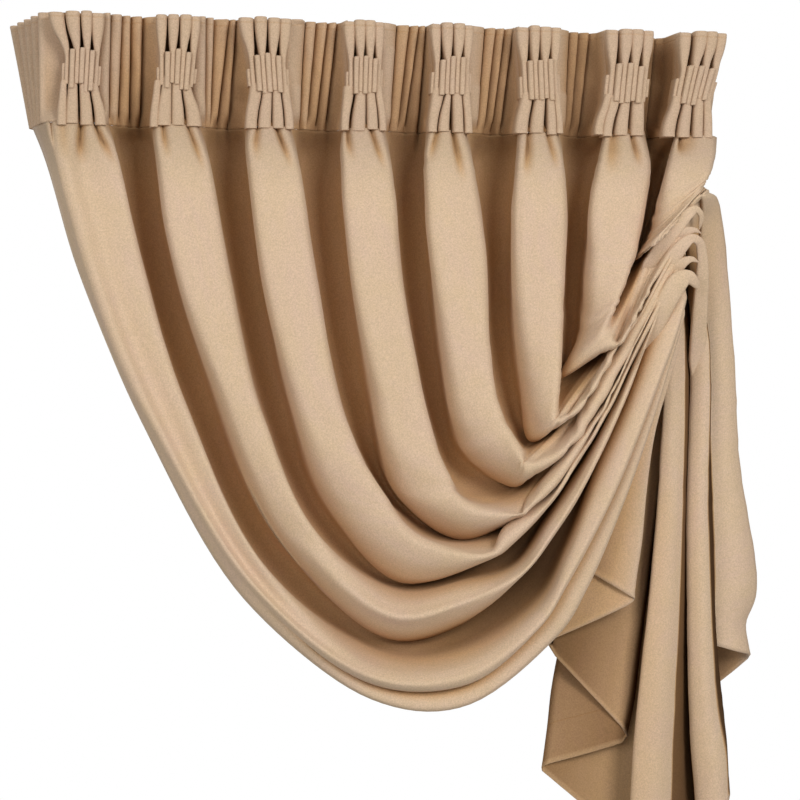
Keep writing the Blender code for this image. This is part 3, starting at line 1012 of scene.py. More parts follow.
CLUSTERS = (
    Cluster((-447, -431, -426, -412, -407, -397, -396, -381), (-429, -386), (-430, -389),
            (49, 47, 50), (97, 91, 100),
            ((-433, -428, -438, -428), (-423, -415, -427, -414),
             (-410, -401, -409, -396), (-397, -390, -391, -379))),
    Cluster((-314, -304, -299, -289, -284, -273, -271, -262), (-312, -266), (-312, -270),
            (49, 45, 49), (94, 89, 96),
            ((-317, -311, -323, -315), (-306, -298, -315, -298),
             (-295, -287, -296, -282), (-283, -275, -277, -260))),
    Cluster((-210, -195, -190, -178, -173, -161, -159, -146), (-199, -152), (-196, -150),
            (50, 47, 50), (95, 96, 96),
            ((-196, -182, -203, -190), (-179, -171, -186, -172),
             (-168, -161, -168, -156), (-157, -149, -152, -143))),
    Cluster((-76, -64, -62, -51, -49, -38, -37, -26), (-71, -28), (-71, -30),
            (48, 47, 50), (95, 95, 93),
            ((-76, -64, -80, -72), (-59, -50, -66, -50),
             (-47, -39, -46, -34), (-36, -29, -30, -23))),
    Cluster((38, 48, 52, 64, 68, 80, 81, 92), (42, 88), (40, 87),
            (49, 44, 45), (94, 93, 93),
            ((40, 55, 34, 44), (59, 62, 48, 60),
             (66, 76, 67, 79), (79, 87, 83, 91))),
    Cluster((152, 166, 170, 180, 183, 196, 198, 210), (158, 206), (160, 208),
            (47, 46, 44), (97, 97, 97),
            ((160, 173, 150, 166), (178, 189, 171, 187),
             (193, 200, 194, 204), (202, 208, 206, 213))),
    Cluster((274, 288, 293, 307, 308, 322, 324, 337), (278, 331), (274, 327),
            (47, 46, 50), (96, 98, 98),
            ((273, 280, 258, 268), (280, 292, 269, 280),
             (296, 305, 286, 302), (310, 325, 308, 325))),
    Cluster((375, 389, 396, 411, 412, 425, 426, 439), (376, 429), (368, 416),
            (47, 47, 50), (97, 99, 92),
            ((367, 378, 352, 368), (382, 391, 373, 388),
             (396, 407, 394, 406), (409, 417, 409, 420))),
)


@dataclass(frozen=True)
class Gap:
    """The flutes between two clusters, in mm.

    Attributes:
        grooves: Where each groove between two flutes is, at the top edge and on the seam.
        back: How far back the strip lies at the top edge and on the seam.
    """

    grooves: tuple[tuple[float, float], ...]
    back: tuple[float, float]


GAPS = (
    Gap(((-371, -374), (-356, -362), (-345, -347), (-330, -333)), (26, 36)),
    Gap(((-251, -251), (-240, -245), (-219, -236), (-211, -220)), (26, 36)),
    Gap(((-122, -130), (-107, -120), (-92, -107), (-80, -94)), (26, 36)),
    Gap(((-1, -11), (17, 1), (29, 11), (38, 30)), (28, 38)),
    Gap(((118, 106), (133, 118), (145, 129), (156, 141)), (28, 38)),
    Gap(((236, 228), (250, 238), (265, 251)), (40, 44)),
    Gap(((358, 344), (366, 349)), (66, 54)),
)
# How far out a flute stands, by how far across it is
FLUTE = ((0.0, -0.6), (0.08, -0.45), (0.17, 0.1), (0.3, 0.45), (0.5, 0.74), (0.68, 0.94), (0.82, 1.0),
         (0.91, 0.7), (0.97, -0.1))
# How far back the strip lies under a cluster, by how far across it is
UNDER_CLUSTER = ((0.0, 0.0), (0.1, 7.0), (0.5, 9.0), (0.9, 7.0))


@dataclass
class Heading:
    """The pleated strip along the top of the curtain: pencil flutes between pinch clusters.

    Attributes:
        seam_line: The panel's seam, which the strip meets, as x and y.
        depth: From the top edge to the seam.
        cloth: The thickness of the cloth.
        root: How far back the pleats spring from.
        band_start: How far below its notches a cluster's band starts.
        band_end: How far above its ribs' ends it ends.
        tuck: How far in from a cluster's left and right ends the strip's places under it lie.
        flute: How far the flutes stand out.
        full_flute: How wide a flute is that stands out that far.
        wide_flute: From which width on it is flat.
        wide_share: How far a flat one stands out, as a share.
        sink: Where a gap starts to lie back and is deep, as shares of its width.
        climb: Where it starts to come forward again and ends.
        nook: How much deeper the strip lies right beside a cluster.
        nook_width: How far that reaches.
        corner: Where the return's front corner is, as x and y.
        return_end: Where the return ends at the top, as x and y.
        return_slant: How the return's end moves for each mm down, as x and y.
        return_grooves: Where its grooves lie, as shares of its length.
        return_share: How far its flutes stand out, as a share of the others.
        right_end: Where the strip ends at the right.
        right_slant: How that end moves for each mm down.
        right_turn: How its last places lie from that end, as x and y.
        seam_back: How far behind the seam's line the strip meets it.
        seam_reach: How far above the seam it starts to bend to it.
        ripple: The height of the soft waves in the strip.
        ripple_end: How far above the seam they start to fade.
        middle_rows: How many rows it has down to its foot.
        foot_rows: How many it has from there to the seam.
        deep: How far back a gap gets its full painted shade.
        gap_shade: How much painted shade it gets there at the top edge and at the seam.
        behind_shade: How much painted shade the strip gets behind the clusters.
    """

    seam_line: np.ndarray | None = None
    depth: float = 138.0
    cloth: float = 1.8
    root: float = -2.0
    band_start: float = 6.0
    band_end: float = 2.0
    tuck: tuple[float, float] = (6.0, 2.0)
    flute: float = 10.0
    full_flute: float = 10.0
    wide_flute: float = 26.0
    wide_share: float = 0.5
    sink: tuple[float, float] = (-0.1, 0.6)
    climb: tuple[float, float] = (0.93, 1.0)
    nook: float = 9.0
    nook_width: float = 4.0
    corner: tuple[float, float] = (-450.0, 8.0)
    return_end: tuple[float, float] = (-491.0, 158.0)
    return_slant: tuple[float, float] = (0.19, -0.48)
    return_grooves: tuple[float, ...] = (0.22, 0.42, 0.6, 0.8)
    return_share: float = 0.75
    right_end: float = 444.0
    right_slant: float = -0.14
    right_turn: tuple[tuple[float, float], ...] = ((-3.0, 4.0), (-4.0, 16.0))
    seam_back: float = 0.6
    seam_reach: float = 22.0
    ripple: float = 0.8
    ripple_end: float = 12.0
    middle_rows: int = 18
    foot_rows: int = 6
    deep: float = 34.0
    gap_shade: tuple[float, float] = (1.14, 1.71)
    behind_shade: float = 1.9

    def ends_at(self, cluster: Cluster, down: float) -> tuple[float, float]:
        """The left and right ends of a cluster at a level.

        Args:
            cluster: The cluster.
            down: How far below the top edge the level is.

        Returns:
            The two x places.
        """
        levels = (0.0, cluster.notches[0] + self.band_start, cluster.ends[0] - self.band_end, self.depth)
        left = (cluster.top[0], cluster.band[0], cluster.foot[0], cluster.fins[0][2])
        right = (cluster.top[-1], cluster.band[1], cluster.foot[1], cluster.fins[-1][3])
        start, end = float(np.interp(down, levels, left)), float(np.interp(down, levels, right))
        return start + self.tuck[0], end - self.tuck[1]

    def gap_row(self, number: int, down: float) -> np.ndarray:
        """The flutes of one gap at a level, as x and y.

        Args:
            number: Which gap it is, from 0 at the left.
            down: How far below the top edge the level is.

        Returns:
            Places from the left cluster to the right one.
        """
        gap = GAPS[number]
        share_down = down / self.depth
        left = self.ends_at(CLUSTERS[number], down)[1]
        right = self.ends_at(CLUSTERS[number + 1], down)[0]
        grooves = [top + (seam - top) * share_down for top, seam in gap.grooves]
        back = gap.back[0] + (gap.back[1] - gap.back[0]) * share_down
        bounds = [left, *grooves, right]
        places = []
        for low, high in zip(bounds, bounds[1:]):
            wide = high - low > self.wide_flute
            height = self.flute * (self.wide_share if wide else min(1.0, (high - low) / self.full_flute))
            for t, rise in FLUTE:
                x = low + (high - low) * t
                share = np.array((x - left) / (right - left))
                dip = back * float(smooth(*self.sink, share) - smooth(*self.climb, share))
                dip += self.nook * math.exp(-(x - left) / self.nook_width)
                places.append((x, self.root + dip - height * rise))
        return np.array(places)

    def gap_depth(self, x: np.ndarray, down: float) -> np.ndarray:
        """How far back the strip lies at places along it, at a level.

        Args:
            x: The places.
            down: How far below the top edge the level is.

        Returns:
            The y of the flutes, and of the pleats' roots under the clusters.
        """
        rows = np.concatenate([self.gap_row(n, down) for n in range(len(GAPS))])
        return np.interp(x, rows[:, 0], rows[:, 1])

    def return_row(self, down: float) -> list[np.ndarray]:
        """The return at the left end at a level, with its shallow flutes.

        Args:
            down: How far below the top edge the level is.

        Returns:
            Places as x and y, from the return's end to its corner.
        """
        start = np.array(self.return_end) + np.array(self.return_slant) * down
        run = np.array(self.corner) - start
        out = np.array([run[1], -run[0]]) / np.linalg.norm(run)
        height = self.flute * self.return_share
        bounds = (0.0, *self.return_grooves, 1.0)
        return [start + run * (low + (high - low) * t) + out * height * rise
                for low, high in zip(bounds, bounds[1:]) for t, rise in FLUTE]

    def row(self, down: float) -> np.ndarray:
        """One level of the strip from end to end.

        Args:
            down: How far below the top edge the level is.

        Returns:
            Places as x and y.
        """
        places = self.return_row(down)
        for n, cluster in enumerate(CLUSTERS):
            left, right = self.ends_at(cluster, down)
            places += [np.array((left + (right - left) * share, self.root + back))
                       for share, back in UNDER_CLUSTER]
            if n < len(GAPS):
                places += list(self.gap_row(n, down))
            else:
                places.append(np.array((right, self.root)))
        last = self.right_end + self.right_slant * down
        places += [np.array((last + x, self.root + y)) for x, y in self.right_turn]
        return np.array(places)

    def surface(self) -> np.ndarray:
        """The strip's surface, from its top edge down to the seam.

        Returns:
            Places by row and column.
        """
        foot = self.depth - 18.0
        levels = np.concatenate([[0.0, 2.0], np.linspace(6.0, foot, self.middle_rows),
                                 np.linspace(foot + 4.0, self.depth, self.foot_rows)])
        rows = []
        for down in levels:
            row = self.row(float(down))
            seam_y = np.interp(row[:, 0], self.seam_line[:, 0], self.seam_line[:, 1])
            share = float(smooth(self.depth - self.seam_reach, self.depth, np.array(down)))
            inward = row[:, 0] > self.corner[0]
            y = np.where(inward, row[:, 1] + (seam_y + self.seam_back - row[:, 1]) * share, row[:, 1])
            rows.append(np.stack([row[:, 0], y, np.full(len(row), -down)], axis=1))
        surface = np.array(rows)
        over, down = arc_lengths(surface, 1), arc_lengths(surface, 0)
        waves = Ripples(seed=11, longest=60, shortest=18, stretch=4.0).at(over, down)
        surface[..., 1] += self.ripple * waves * smooth(0.0, self.ripple_end, self.depth - down)
        return surface

    def build(self) -> list[bpy.types.Object]:
        """Makes the strip and the pleats of every cluster.

        Returns:
            The strip and then the clusters.
        """
        surface = self.surface()
        values = {"from_top": arc_lengths(surface, 0) * MM, "hollow": self.hollow(surface)}
        strip = ClothMesh("heading_strip", surface, self.cloth, values)
        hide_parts("heading")
        clusters = [PinchCluster(self, cluster, number).build()
                    for number, cluster in enumerate(CLUSTERS, 1)]
        for piece in (strip.object, *clusters):
            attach(piece, "root")
        return [strip.object, *clusters]

    def hollow(self, surface: np.ndarray) -> np.ndarray:
        """How dark each place of the strip is: darker where it lies deep, towards the seam and under pleats.

        Args:
            surface: The strip's places.

        Returns:
            The painted shade of each place, 0 on the return.
        """
        # Painted shade: darker where the strip lies deep in a gap, lower down and behind the clusters.
        below = -surface[..., 2]
        top, foot = self.gap_shade
        shade = top + (foot - top) * below / self.depth
        in_gap = smooth(0.0, self.deep, surface[..., 1] - self.root) * shade
        behind = np.zeros(surface.shape[:2])
        for row, down in enumerate(below[:, 0]):
            for cluster in CLUSTERS:
                left, right = self.ends_at(cluster, float(down))
                behind[row] += (surface[row, :, 0] > left) & (surface[row, :, 0] < right)
        return np.maximum(in_gap, self.behind_shade * behind) * (surface[..., 0] > self.corner[0])


@dataclass(frozen=True)
class PleatLevel:
    """One level of a pleat, in mm.

    Attributes:
        down: How far below the top edge it is.
        left: Its left end.
        right: Its right end.
        front: How far forward it stands.
    """

    down: float
    left: float
    right: float
    front: float


# How far down the upper pleats' middle levels are, and how far they have come in to the band there
UPPER_LEVELS = ((14, 0.1), (28, 0.38), (40, 0.74))
# Where a lower pleat's levels are, as shares of its length, and how far back they lie there
LOWER_LEVELS = ((0.0, 1.2), (0.3, 0.4), (0.6, 0.0), (0.9, 0.6), (0.97, 0.2), (1.0, -0.3))


@dataclass
class PinchCluster:
    """The pleats of one cluster: upper ones that run into its band, square ribs between them and lower ones.

    Attributes:
        heading: The heading that carries it.
        cluster: Its measures.
        number: Which cluster it is, from 1 at the left.
        front: How far forward the pleats stand.
        spare_top: How much wider each upper pleat is on each side than its measure.
        spare_foot: How much wider each lower pleat is.
        outer_back: How much further back the two outermost upper pleats stand.
        outer_low: How much lower they start.
        outer_short: How much higher they end.
        upper_gap: How much narrower than its rib of the band an upper pleat is on each side.
        square_gap: The same for a square rib, which is a little wider.
        flank_gap: The same for a rib beside the band.
        rib_front: How much further forward the square ribs stand.
        flank_out: How far out from the band the ribs beside it start, as a share of a rib.
        flank_back: How much further back they stand.
        upper_root: How far behind the heading's roots the upper pleats spring from.
        lower_root: How far behind them the ribs and the lower pleats do.
        ribs: How many ribs the band has.
        arc_steps: How many steps go round a pleat's front.
        level_steps: How many steps lie between one level of a pleat and the next.
        squareness: The power that flattens its front, where 1 would be round.
        fullness: How far round its front is, as a share of half its width.
        waist: Half its width at its waist, as a share of what it is at the front.
        pinch: The same at its root.
        shade_reach: How far behind its front it gets its full painted shade.
        darkest: How much painted shade it gets there at most.
        points: The places of all pleats, filled in as they are made.
        faces: Their faces.
        tops: How far below the top edge each place is, in metres.
        painted_shade_values: How much painted shade each place gets.
    """

    heading: Heading
    cluster: Cluster
    number: int
    front: float = -26.0
    spare_top: float = 2.1
    spare_foot: float = 1.2
    outer_back: float = 3.5
    outer_low: float = 1.2
    outer_short: float = 4.0
    upper_gap: float = 0.15
    square_gap: float = -0.1
    flank_gap: float = 0.6
    rib_front: float = 1.6
    flank_out: float = 0.62
    flank_back: float = 8.0
    upper_root: float = 6.0
    lower_root: float = 8.0
    ribs: int = 7
    arc_steps: int = 12
    level_steps: int = 4
    squareness: float = 0.7
    fullness: float = 1.1
    waist: float = 0.88
    pinch: float = 0.5
    shade_reach: float = 22.0
    darkest: float = 0.9
    points: list[tuple[float, float, float]] = field(default_factory=list)
    faces: list[tuple[int, ...]] = field(default_factory=list)
    tops: list[float] = field(default_factory=list)
    painted_shade_values: list[float] = field(default_factory=list)

    def pleat(self, levels: Sequence[PleatLevel], root: float, rounded: bool) -> None:
        """Adds one pleat: a tube of cloth, round at its front and pinched at its root, with closed ends.

        Args:
            levels: Its levels from the top down.
            root: How far back it springs from.
            rounded: Whether its top end is rounded over, or cut square.
        """
        table = np.array([(level.down, (level.left + level.right) / 2, (level.right - level.left) / 2,
                           level.front) for level in levels])
        rows = through(table, spread([self.level_steps] * (len(levels) - 1)))
        end = 1.6 if rounded else 0.7
        caps = [rows[0] + (0.0, 0.0, -end * 0.9, end),
                rows[0] + (end * 0.35, 0.0, -end * 0.3, end * 0.25)]
        last = [rows[-1] + (-0.25, 0.0, -0.2, 0.15), rows[-1] + (0.0, 0.0, -0.7, 0.7)]
        rows = np.concatenate([caps, rows[1:-1], last])
        start = len(self.points)
        ring = 0
        turns = [math.pi * step / self.arc_steps for step in range(self.arc_steps + 1)]
        for down, middle, half, front in rows:
            deep = half * self.fullness
            arc = [(-half * math.copysign(abs(math.cos(turn)) ** self.squareness, math.cos(turn)),
                    front + deep * (1 - math.sin(turn) ** self.squareness)) for turn in turns]
            back = (root + front) / 2 + half * self.pinch
            outline = [(-half * self.pinch, root), (-half * self.waist, back), *arc,
                       (half * self.waist, back), (half * self.pinch, root)]
            ring = len(outline)
            for x, y in outline:
                self.points.append((middle + x, y, -down))
                self.tops.append(down * MM)
                # Painted shade, darker the further behind the pleat's front a place lies.
                self.painted_shade_values.append(min(self.darkest, max(0.0, (y - front) / self.shade_reach)))
        count = len(rows)
        for row in range(count - 1):
            for n in range(ring):
                a, b = start + row * ring + n, start + row * ring + (n + 1) % ring
                self.faces.append((a, a + ring, b + ring, b))
        self.faces.append(tuple(range(start, start + ring)))
        self.faces.append(tuple(start + (count - 1) * ring + n for n in range(ring - 1, -1, -1)))

    def rib(self, slot: float, down: float, spare: float = 0.0) -> tuple[float, float]:
        """The left and right ends of one of the band's seven ribs at a level.

        Args:
            slot: Which rib it is, from 0.
            down: How far below the top edge the level is.
            spare: How much narrower it is on each side.

        Returns:
            The two x places.
        """
        cluster = self.cluster
        start = cluster.notches[0] + self.heading.band_start
        share = (down - start) / (cluster.ends[0] - self.heading.band_end - start)
        left = cluster.band[0] + (cluster.foot[0] - cluster.band[0]) * share
        right = cluster.band[1] + (cluster.foot[1] - cluster.band[1]) * share
        pitch = (right - left) / self.ribs
        return left + pitch * slot + spare, left + pitch * (slot + 1) - spare

    def upper(self, n: int, spare: np.random.Generator) -> None:
        """Adds one of the four pleats that come down from the top edge into the band.

        Args:
            n: Which one it is, from 0 at the left.
            spare: Draws how much it differs from its measures.
        """
        cluster = self.cluster
        left, right = cluster.top[2 * n:2 * n + 2]
        outermost = n in (0, 3)
        top = spare.uniform(0.6, 2.2) + self.outer_low * outermost
        front = self.front + self.outer_back * outermost
        foot = cluster.ends[min(n, 2)] + spare.uniform(-3, 2) - self.outer_short * outermost
        start = cluster.notches[min(n, 2)]
        levels = [PleatLevel(top, left - self.spare_top, right + self.spare_top, front - 0.5)]
        band = start + self.heading.band_start
        band_left, band_right = self.rib(2 * n, band, self.upper_gap)
        for down, share in UPPER_LEVELS:
            more = self.spare_top * (1 - 0.7 * share)
            levels.append(PleatLevel(down, left + (band_left - left) * share - more,
                                     right + (band_right - right) * share + more,
                                     front - 0.8 + 1.8 * share))
        for down in (band, (start + foot) / 2 + 4, foot):
            levels.append(PleatLevel(down, *self.rib(2 * n, down, self.upper_gap), front + 1.4))
        self.pleat(levels, self.heading.root + self.upper_root, True)

    def square_rib(self, n: int) -> None:
        """Adds one of the three ribs with a square top that stand between the upper pleats.

        Args:
            n: Which one it is, from 0 at the left.
        """
        top, foot = self.cluster.notches[n], self.cluster.ends[n]
        rises = ((top, 0.0), (top + 6, 0.4), ((top + foot) / 2, 1.4), (foot - 4, 1.0), (foot, 0.6))
        front = self.front - self.rib_front
        levels = [PleatLevel(down, *self.rib(2 * n + 1, down, self.square_gap), front + rise)
                  for down, rise in rises]
        self.pleat(levels, self.heading.root + self.lower_root, False)

    def fin(self, n: int, spare: np.random.Generator) -> None:
        """Adds one of the lower pleats, which spread from the band's foot to the seam.

        Args:
            n: Which one it is, from 0 at the left.
            spare: Draws how far it reaches below the seam.
        """
        cluster = self.cluster
        top_left, top_right, left, right = cluster.fins[n]
        top = cluster.ends[min(n, 2)] - 10
        foot = self.heading.depth + spare.uniform(1.5, 4.5)
        front = self.front + (3.4 if n in (0, len(cluster.fins) - 1) else 2.2)
        levels = []
        for share, rise in LOWER_LEVELS:
            ease = min(1.0, 1.5 * max(0.0, share - 0.1)) ** 0.9
            levels.append(PleatLevel(top + (foot - top) * share,
                                     top_left + (left - top_left) * ease - self.spare_foot,
                                     top_right + (right - top_right) * ease + self.spare_foot, front + rise))
        self.pleat(levels, self.heading.root + self.lower_root, False)

    def flank(self, side: int, spare: np.random.Generator) -> None:
        """Adds the short set-back rib beside the band.

        Args:
            side: 0 for the one at the left, 1 for the one at the right.
            spare: Draws where it starts and ends.
        """
        cluster = self.cluster
        top = cluster.notches[0] + 17 + spare.uniform(-3, 3)
        foot = cluster.ends[0] - spare.uniform(1, 7)
        slot = self.ribs - 1 + self.flank_out if side else -self.flank_out
        front = self.front + self.flank_back
        levels = [PleatLevel(down, *self.rib(slot, down, self.flank_gap), front + rise)
                  for down, rise in ((top, 0.0), ((top + foot) / 2, 0.6), (foot, 0.2))]
        self.pleat(levels, self.heading.root + self.lower_root, False)

    def build(self) -> bpy.types.Object:
        """Makes the cluster's pleats as one piece.

        Returns:
            The piece.
        """
        spare = np.random.default_rng(100 + self.number)
        for n in range(4):
            self.upper(n, spare)
        for n in range(3):
            self.square_rib(n)
        for n in range(len(self.cluster.fins)):
            self.fin(n, spare)
        for side in (0, 1):
            self.flank(side, spare)
        mesh = bpy.data.meshes.new(f"pinch_pleats_{self.number}")
        mesh.from_pydata((np.array(self.points) * MM).tolist(), [], self.faces)
        mesh.shade_smooth()
        mesh.set_sharp_from_angle(angle=math.radians(50))
        for key, value in (("from_top", self.tops), ("hollow", self.painted_shade_values)):
            keep(mesh, key, value)
        keep(mesh, "cloth", np.array([(x, -z, 0) for x, _, z in self.points], np.float32) * MM)
        return placed(mesh.name, mesh)


# The velvet

Operand: TypeAlias = "Wire | float | tuple[float, ...]"


class Wire:
    """An output of a shader node, on which arithmetic adds nodes.

    Values go through Math, vectors through Vector Math and colours through Mix.
    """

    def __init__(self, shader: "Shader", socket: bpy.types.NodeSocket) -> None:
        """Keeps the socket and the shader that it is in."""
        self.shader = shader
        self.socket = socket

    def _joined(self, operation: str, first: Operand, second: Operand) -> "Wire":
        """The node for an operation on this wire and another value, as this wire's kind needs.

        Args:
            operation: The operation's name.
            first: What comes before it.
            second: What comes after it.

        Returns:
            The wire from the node.
        """
        if self.socket.type == "RGBA":
            return self.shader.mix(1.0, first, second, operation)
        kind = "ShaderNodeVectorMath" if self.socket.type == "VECTOR" else "ShaderNodeMath"
        return self.shader.node(kind, {"operation": operation}, {0: first, 1: second})

    def __add__(self, other: Operand) -> "Wire":
        """This value plus another."""
        return self._joined("ADD", self, other)

    __radd__ = __add__

    def __sub__(self, other: Operand) -> "Wire":
        """This value less another."""
        return self._joined("SUBTRACT", self, other)

    def __rsub__(self, other: Operand) -> "Wire":
        """Another value less this one."""
        return self._joined("SUBTRACT", other, self)

    def __mul__(self, other: Operand) -> "Wire":
        """This value times another."""
        return self._joined("MULTIPLY", self, other)

    __rmul__ = __mul__

    def __truediv__(self, other: Operand) -> "Wire":
        """This value over another."""
        return self._joined("DIVIDE", self, other)

    def __rtruediv__(self, other: Operand) -> "Wire":
        """Another value over this one."""
        return self._joined("DIVIDE", other, self)

    def __abs__(self) -> "Wire":
        """This value without its sign."""
        return self.shader.node("ShaderNodeMath", {"operation": "ABSOLUTE"}, {0: self})


class Shader:
    """A material's node tree, written to in plain steps."""

    def __init__(self, name: str) -> None:
        """Makes a material with an empty Principled surface."""
        self.material = bpy.data.materials.new(name)
        self.material.use_nodes = True
        self.tree = self.material.node_tree
        self.surface = self.tree.nodes["Principled BSDF"]

    def node(self, kind: str, settings: dict[str, Any] | None = None,
             inputs: dict[int | str, Operand] | None = None, output: int | str = 0) -> Wire:
        """Adds a node.

        Args:
            kind: The node's type.
            settings: Properties that are set first, with a ramp's stops under the key stops.
            inputs: Values or wires for its sockets, by name or number.
            output: The output that is wanted.

        Returns:
            The wire from that output.
        """
        node = self.tree.nodes.new(kind)
        for key, value in (settings or {}).items():
            if key == "stops":
                ramp = node.color_ramp
                while len(ramp.elements) < len(value):
                    ramp.elements.new(1.0)
                for element, (position, colour) in zip(ramp.elements, value):
                    element.position = position
                    element.color = colour
            else:
                setattr(node, key, value)
        for key, value in (inputs or {}).items():
            if isinstance(value, Wire):
                self.tree.links.new(value.socket, node.inputs[key])
            else:
                node.inputs[key].default_value = value
        return Wire(self, node.outputs[output])

    def attribute(self, name: str, output: str = "Fac") -> Wire:
        """An attribute of the mesh."""
        return self.node("ShaderNodeAttribute", {"attribute_name": name}, output=output)

    def noise(self, place: Wire, scale: float, detail: float, roughness: float = 0.5) -> Wire:
        """A noise value from 0 to 1.

        Args:
            place: Where it is read.
            scale: How fine it is.
            detail: How many finer layers it has.
            roughness: How strong those are.

        Returns:
            The noise.
        """
        return self.node("ShaderNodeTexNoise", {},
                         {"Vector": place, "Scale": scale, "Detail": detail, "Roughness": roughness})

    def ramp(self, value: Wire, low: float, high: float, to_low: float = 0.0, to_high: float = 1.0) -> Wire:
        """A smooth step of a value from one range to another.

        Args:
            value: The value.
            low: Where it starts.
            high: Where it ends.
            to_low: What it starts with.
            to_high: What it ends with.

        Returns:
            The step's value.
        """
        return self.node("ShaderNodeMapRange", {"interpolation_type": "SMOOTHSTEP"},
                         {"Value": value, "From Min": low, "From Max": high,
                          "To Min": to_low, "To Max": to_high})

    def mix(self, share: Wire | float, first: Operand, second: Operand, blend: str = "MIX") -> Wire:
        """A mix of two colours.

        Args:
            share: How much of the second is in it.
            first: The first colour.
            second: The second colour.
            blend: How they are mixed.

        Returns:
            The mixed colour.
        """
        return self.node("ShaderNodeMix", {"data_type": "RGBA", "blend_type": blend},
                         {0: share, 6: first, 7: second}, output=2)

    def feed(self, socket: str, value: Operand) -> None:
        """Links a wire to one of the surface's sockets, or sets a number or colour there.

        Args:
            socket: The socket's name.
            value: What it gets.
        """
        if isinstance(value, Wire):
            self.tree.links.new(value.socket, self.surface.inputs[socket])
        else:
            self.surface.inputs[socket].default_value = value

    def mixed_with(self, share: Wire, other: Wire) -> None:
        """Puts a mix of the surface and another one out as the material's.

        Args:
            share: How much of the other is in it.
            other: The other surface.
        """
        own = Wire(self, self.surface.outputs[0])
        both = self.node("ShaderNodeMixShader", {}, {0: share, 1: own, 2: other})
        self.tree.links.new(both.socket, self.tree.nodes["Material Output"].inputs["Surface"])


Colour: TypeAlias = tuple[float, float, float, float]


@dataclass(frozen=True)
class Velvet:
    """A short-pile velvet with a soft mottled nap.

    Attributes:
        name: The material's name.
        lit: The colour of the pile.
        golden: The colour where the nap lies one way.
        rosy: The colour where it lies the other way.
        deep: What the pile's colour is multiplied by for painted shade deep in a fold, and in the stitch
            line.
        deepest: What it is multiplied by where the painted shade is twice as dark.
        dark: What it is multiplied by for the darkest painted shade, where the fold is nearly closed.
        sheen: The strength of the light rims.
        sheen_tint: Their colour.
        grain_depth: The height of the pile's grain, in metres.
        stitch_from: The attribute that the stitch line is measured with.
        stitch_at: How far along it the line lies, in metres.
        stitch_edge: How far from its middle the line starts to fade and ends, in metres.
        stitch_shows: How far the line shows on the face of the cloth, against its inside.
        stitch_dark: How dark it is.
        start_shade: What the colour is multiplied by as painted shade where the cloth starts below the
            heading, where 1 is no change.
        start_reach: How far down the cloth that fades, in metres.
    """

    name: str
    lit: Colour = (0.68, 0.5, 0.35, 1)
    golden: Colour = (0.66, 0.485, 0.315, 1)
    rosy: Colour = (0.66, 0.475, 0.345, 1)
    deep: Colour = (0.9, 0.78, 0.61, 1)
    deepest: Colour = (0.42, 0.32, 0.22, 1)
    dark: Colour = (0.07, 0.045, 0.03, 1)
    sheen: float = 0.24
    sheen_tint: Colour = (1.0, 0.84, 0.67, 1)
    grain_depth: float = 0.0012
    stitch_from: str = "from_hem"
    stitch_at: float = 0.057
    stitch_edge: tuple[float, float] = (0.0004, 0.0016)
    stitch_shows: float = 0.1
    stitch_dark: float = 0.35
    start_shade: float = 0.8
    start_reach: float = 0.1

    def material(self) -> bpy.types.Material:
        """Builds the material's nodes.

        Returns:
            The material.
        """
        shader = Shader(self.name)
        place = shader.node("ShaderNodeTexCoord", output="Object")
        cloth = shader.attribute("cloth", "Vector")
        patches = shader.noise(place, 11, 3, 0.55)
        brushed = shader.noise(place, 55, 4, 0.6)
        streaks = shader.noise(cloth * (1.0, 0.12, 1.0), 48, 3, 0.55)
        grain = shader.noise(place, 520, 2, 0.6)
        fibres = shader.noise(place, 1300, 1, 0.5)
        colour = shader.mix(shader.ramp(patches, 0.42, 0.6), self.golden, self.rosy)
        colour = shader.mix(shader.ramp(brushed, 0.35, 0.68, 0.15, 0.85), colour, self.lit)
        colour = shader.mix(shader.ramp(streaks, 0.3, 0.7, 0.0, 0.55), colour, self.golden)
        speck = shader.ramp(grain * 0.65 + fibres * 0.35, 0.28, 0.72, 0.85, 1.13)
        # Painted shade: the cloth's colour is darkened where folds, gaps and creases lie in shade.
        hollow = shader.attribute("hollow")
        stops = ((0.02, (1, 1, 1, 1)), (0.3, self.deep), (0.64, self.deepest), (1.0, self.dark))
        tint = shader.node("ShaderNodeValToRGB", {"stops": stops}, {"Fac": hollow / 3})
        colour = colour * speck * tint
        off = abs(shader.attribute(self.stitch_from) - self.stitch_at)
        shows = shader.attribute("inside") * (1 - self.stitch_shows) + self.stitch_shows
        line = shader.ramp(off, self.stitch_edge[1], self.stitch_edge[0]) * shows
        colour = shader.mix(line * self.stitch_dark, colour, colour * self.deep)
        # Painted shade where the cloth starts below the heading.
        down = shader.node("ShaderNodeSeparateXYZ", {}, {"Vector": cloth}, output=1)
        colour = colour * shader.ramp(down, 0.0, self.start_reach, self.start_shade, 1.0)
        shader.feed("Base Color", colour)
        shader.feed("Roughness", shader.ramp(brushed, 0.3, 0.7, 0.82, 0.95))
        height = brushed * 0.4 + streaks * 0.3 + grain * 0.3 + fibres * 0.15 - line * 0.6
        bump = shader.node("ShaderNodeBump", {},
                           {"Strength": 0.4, "Distance": self.grain_depth, "Height": height})
        for socket, value in (("Normal", bump), ("Specular IOR Level", 0.12), ("Sheen Weight", self.sheen),
                              ("Sheen Roughness", 0.42), ("Sheen Tint", self.sheen_tint)):
            shader.feed(socket, value)
        # Where the painted shade is strong, a copy of the surface without sheen takes over, so painted-dark
        # gaps show no light rims.
        flat = shader.node("ShaderNodeBsdfPrincipled", {}, {"Base Color": colour, "Roughness": 0.95,
                                                            "Normal": bump, "Specular IOR Level": 0.02})
        shader.mixed_with(shader.ramp(hollow, 0.3, 1.7), flat)
        return shader.material


# The studio

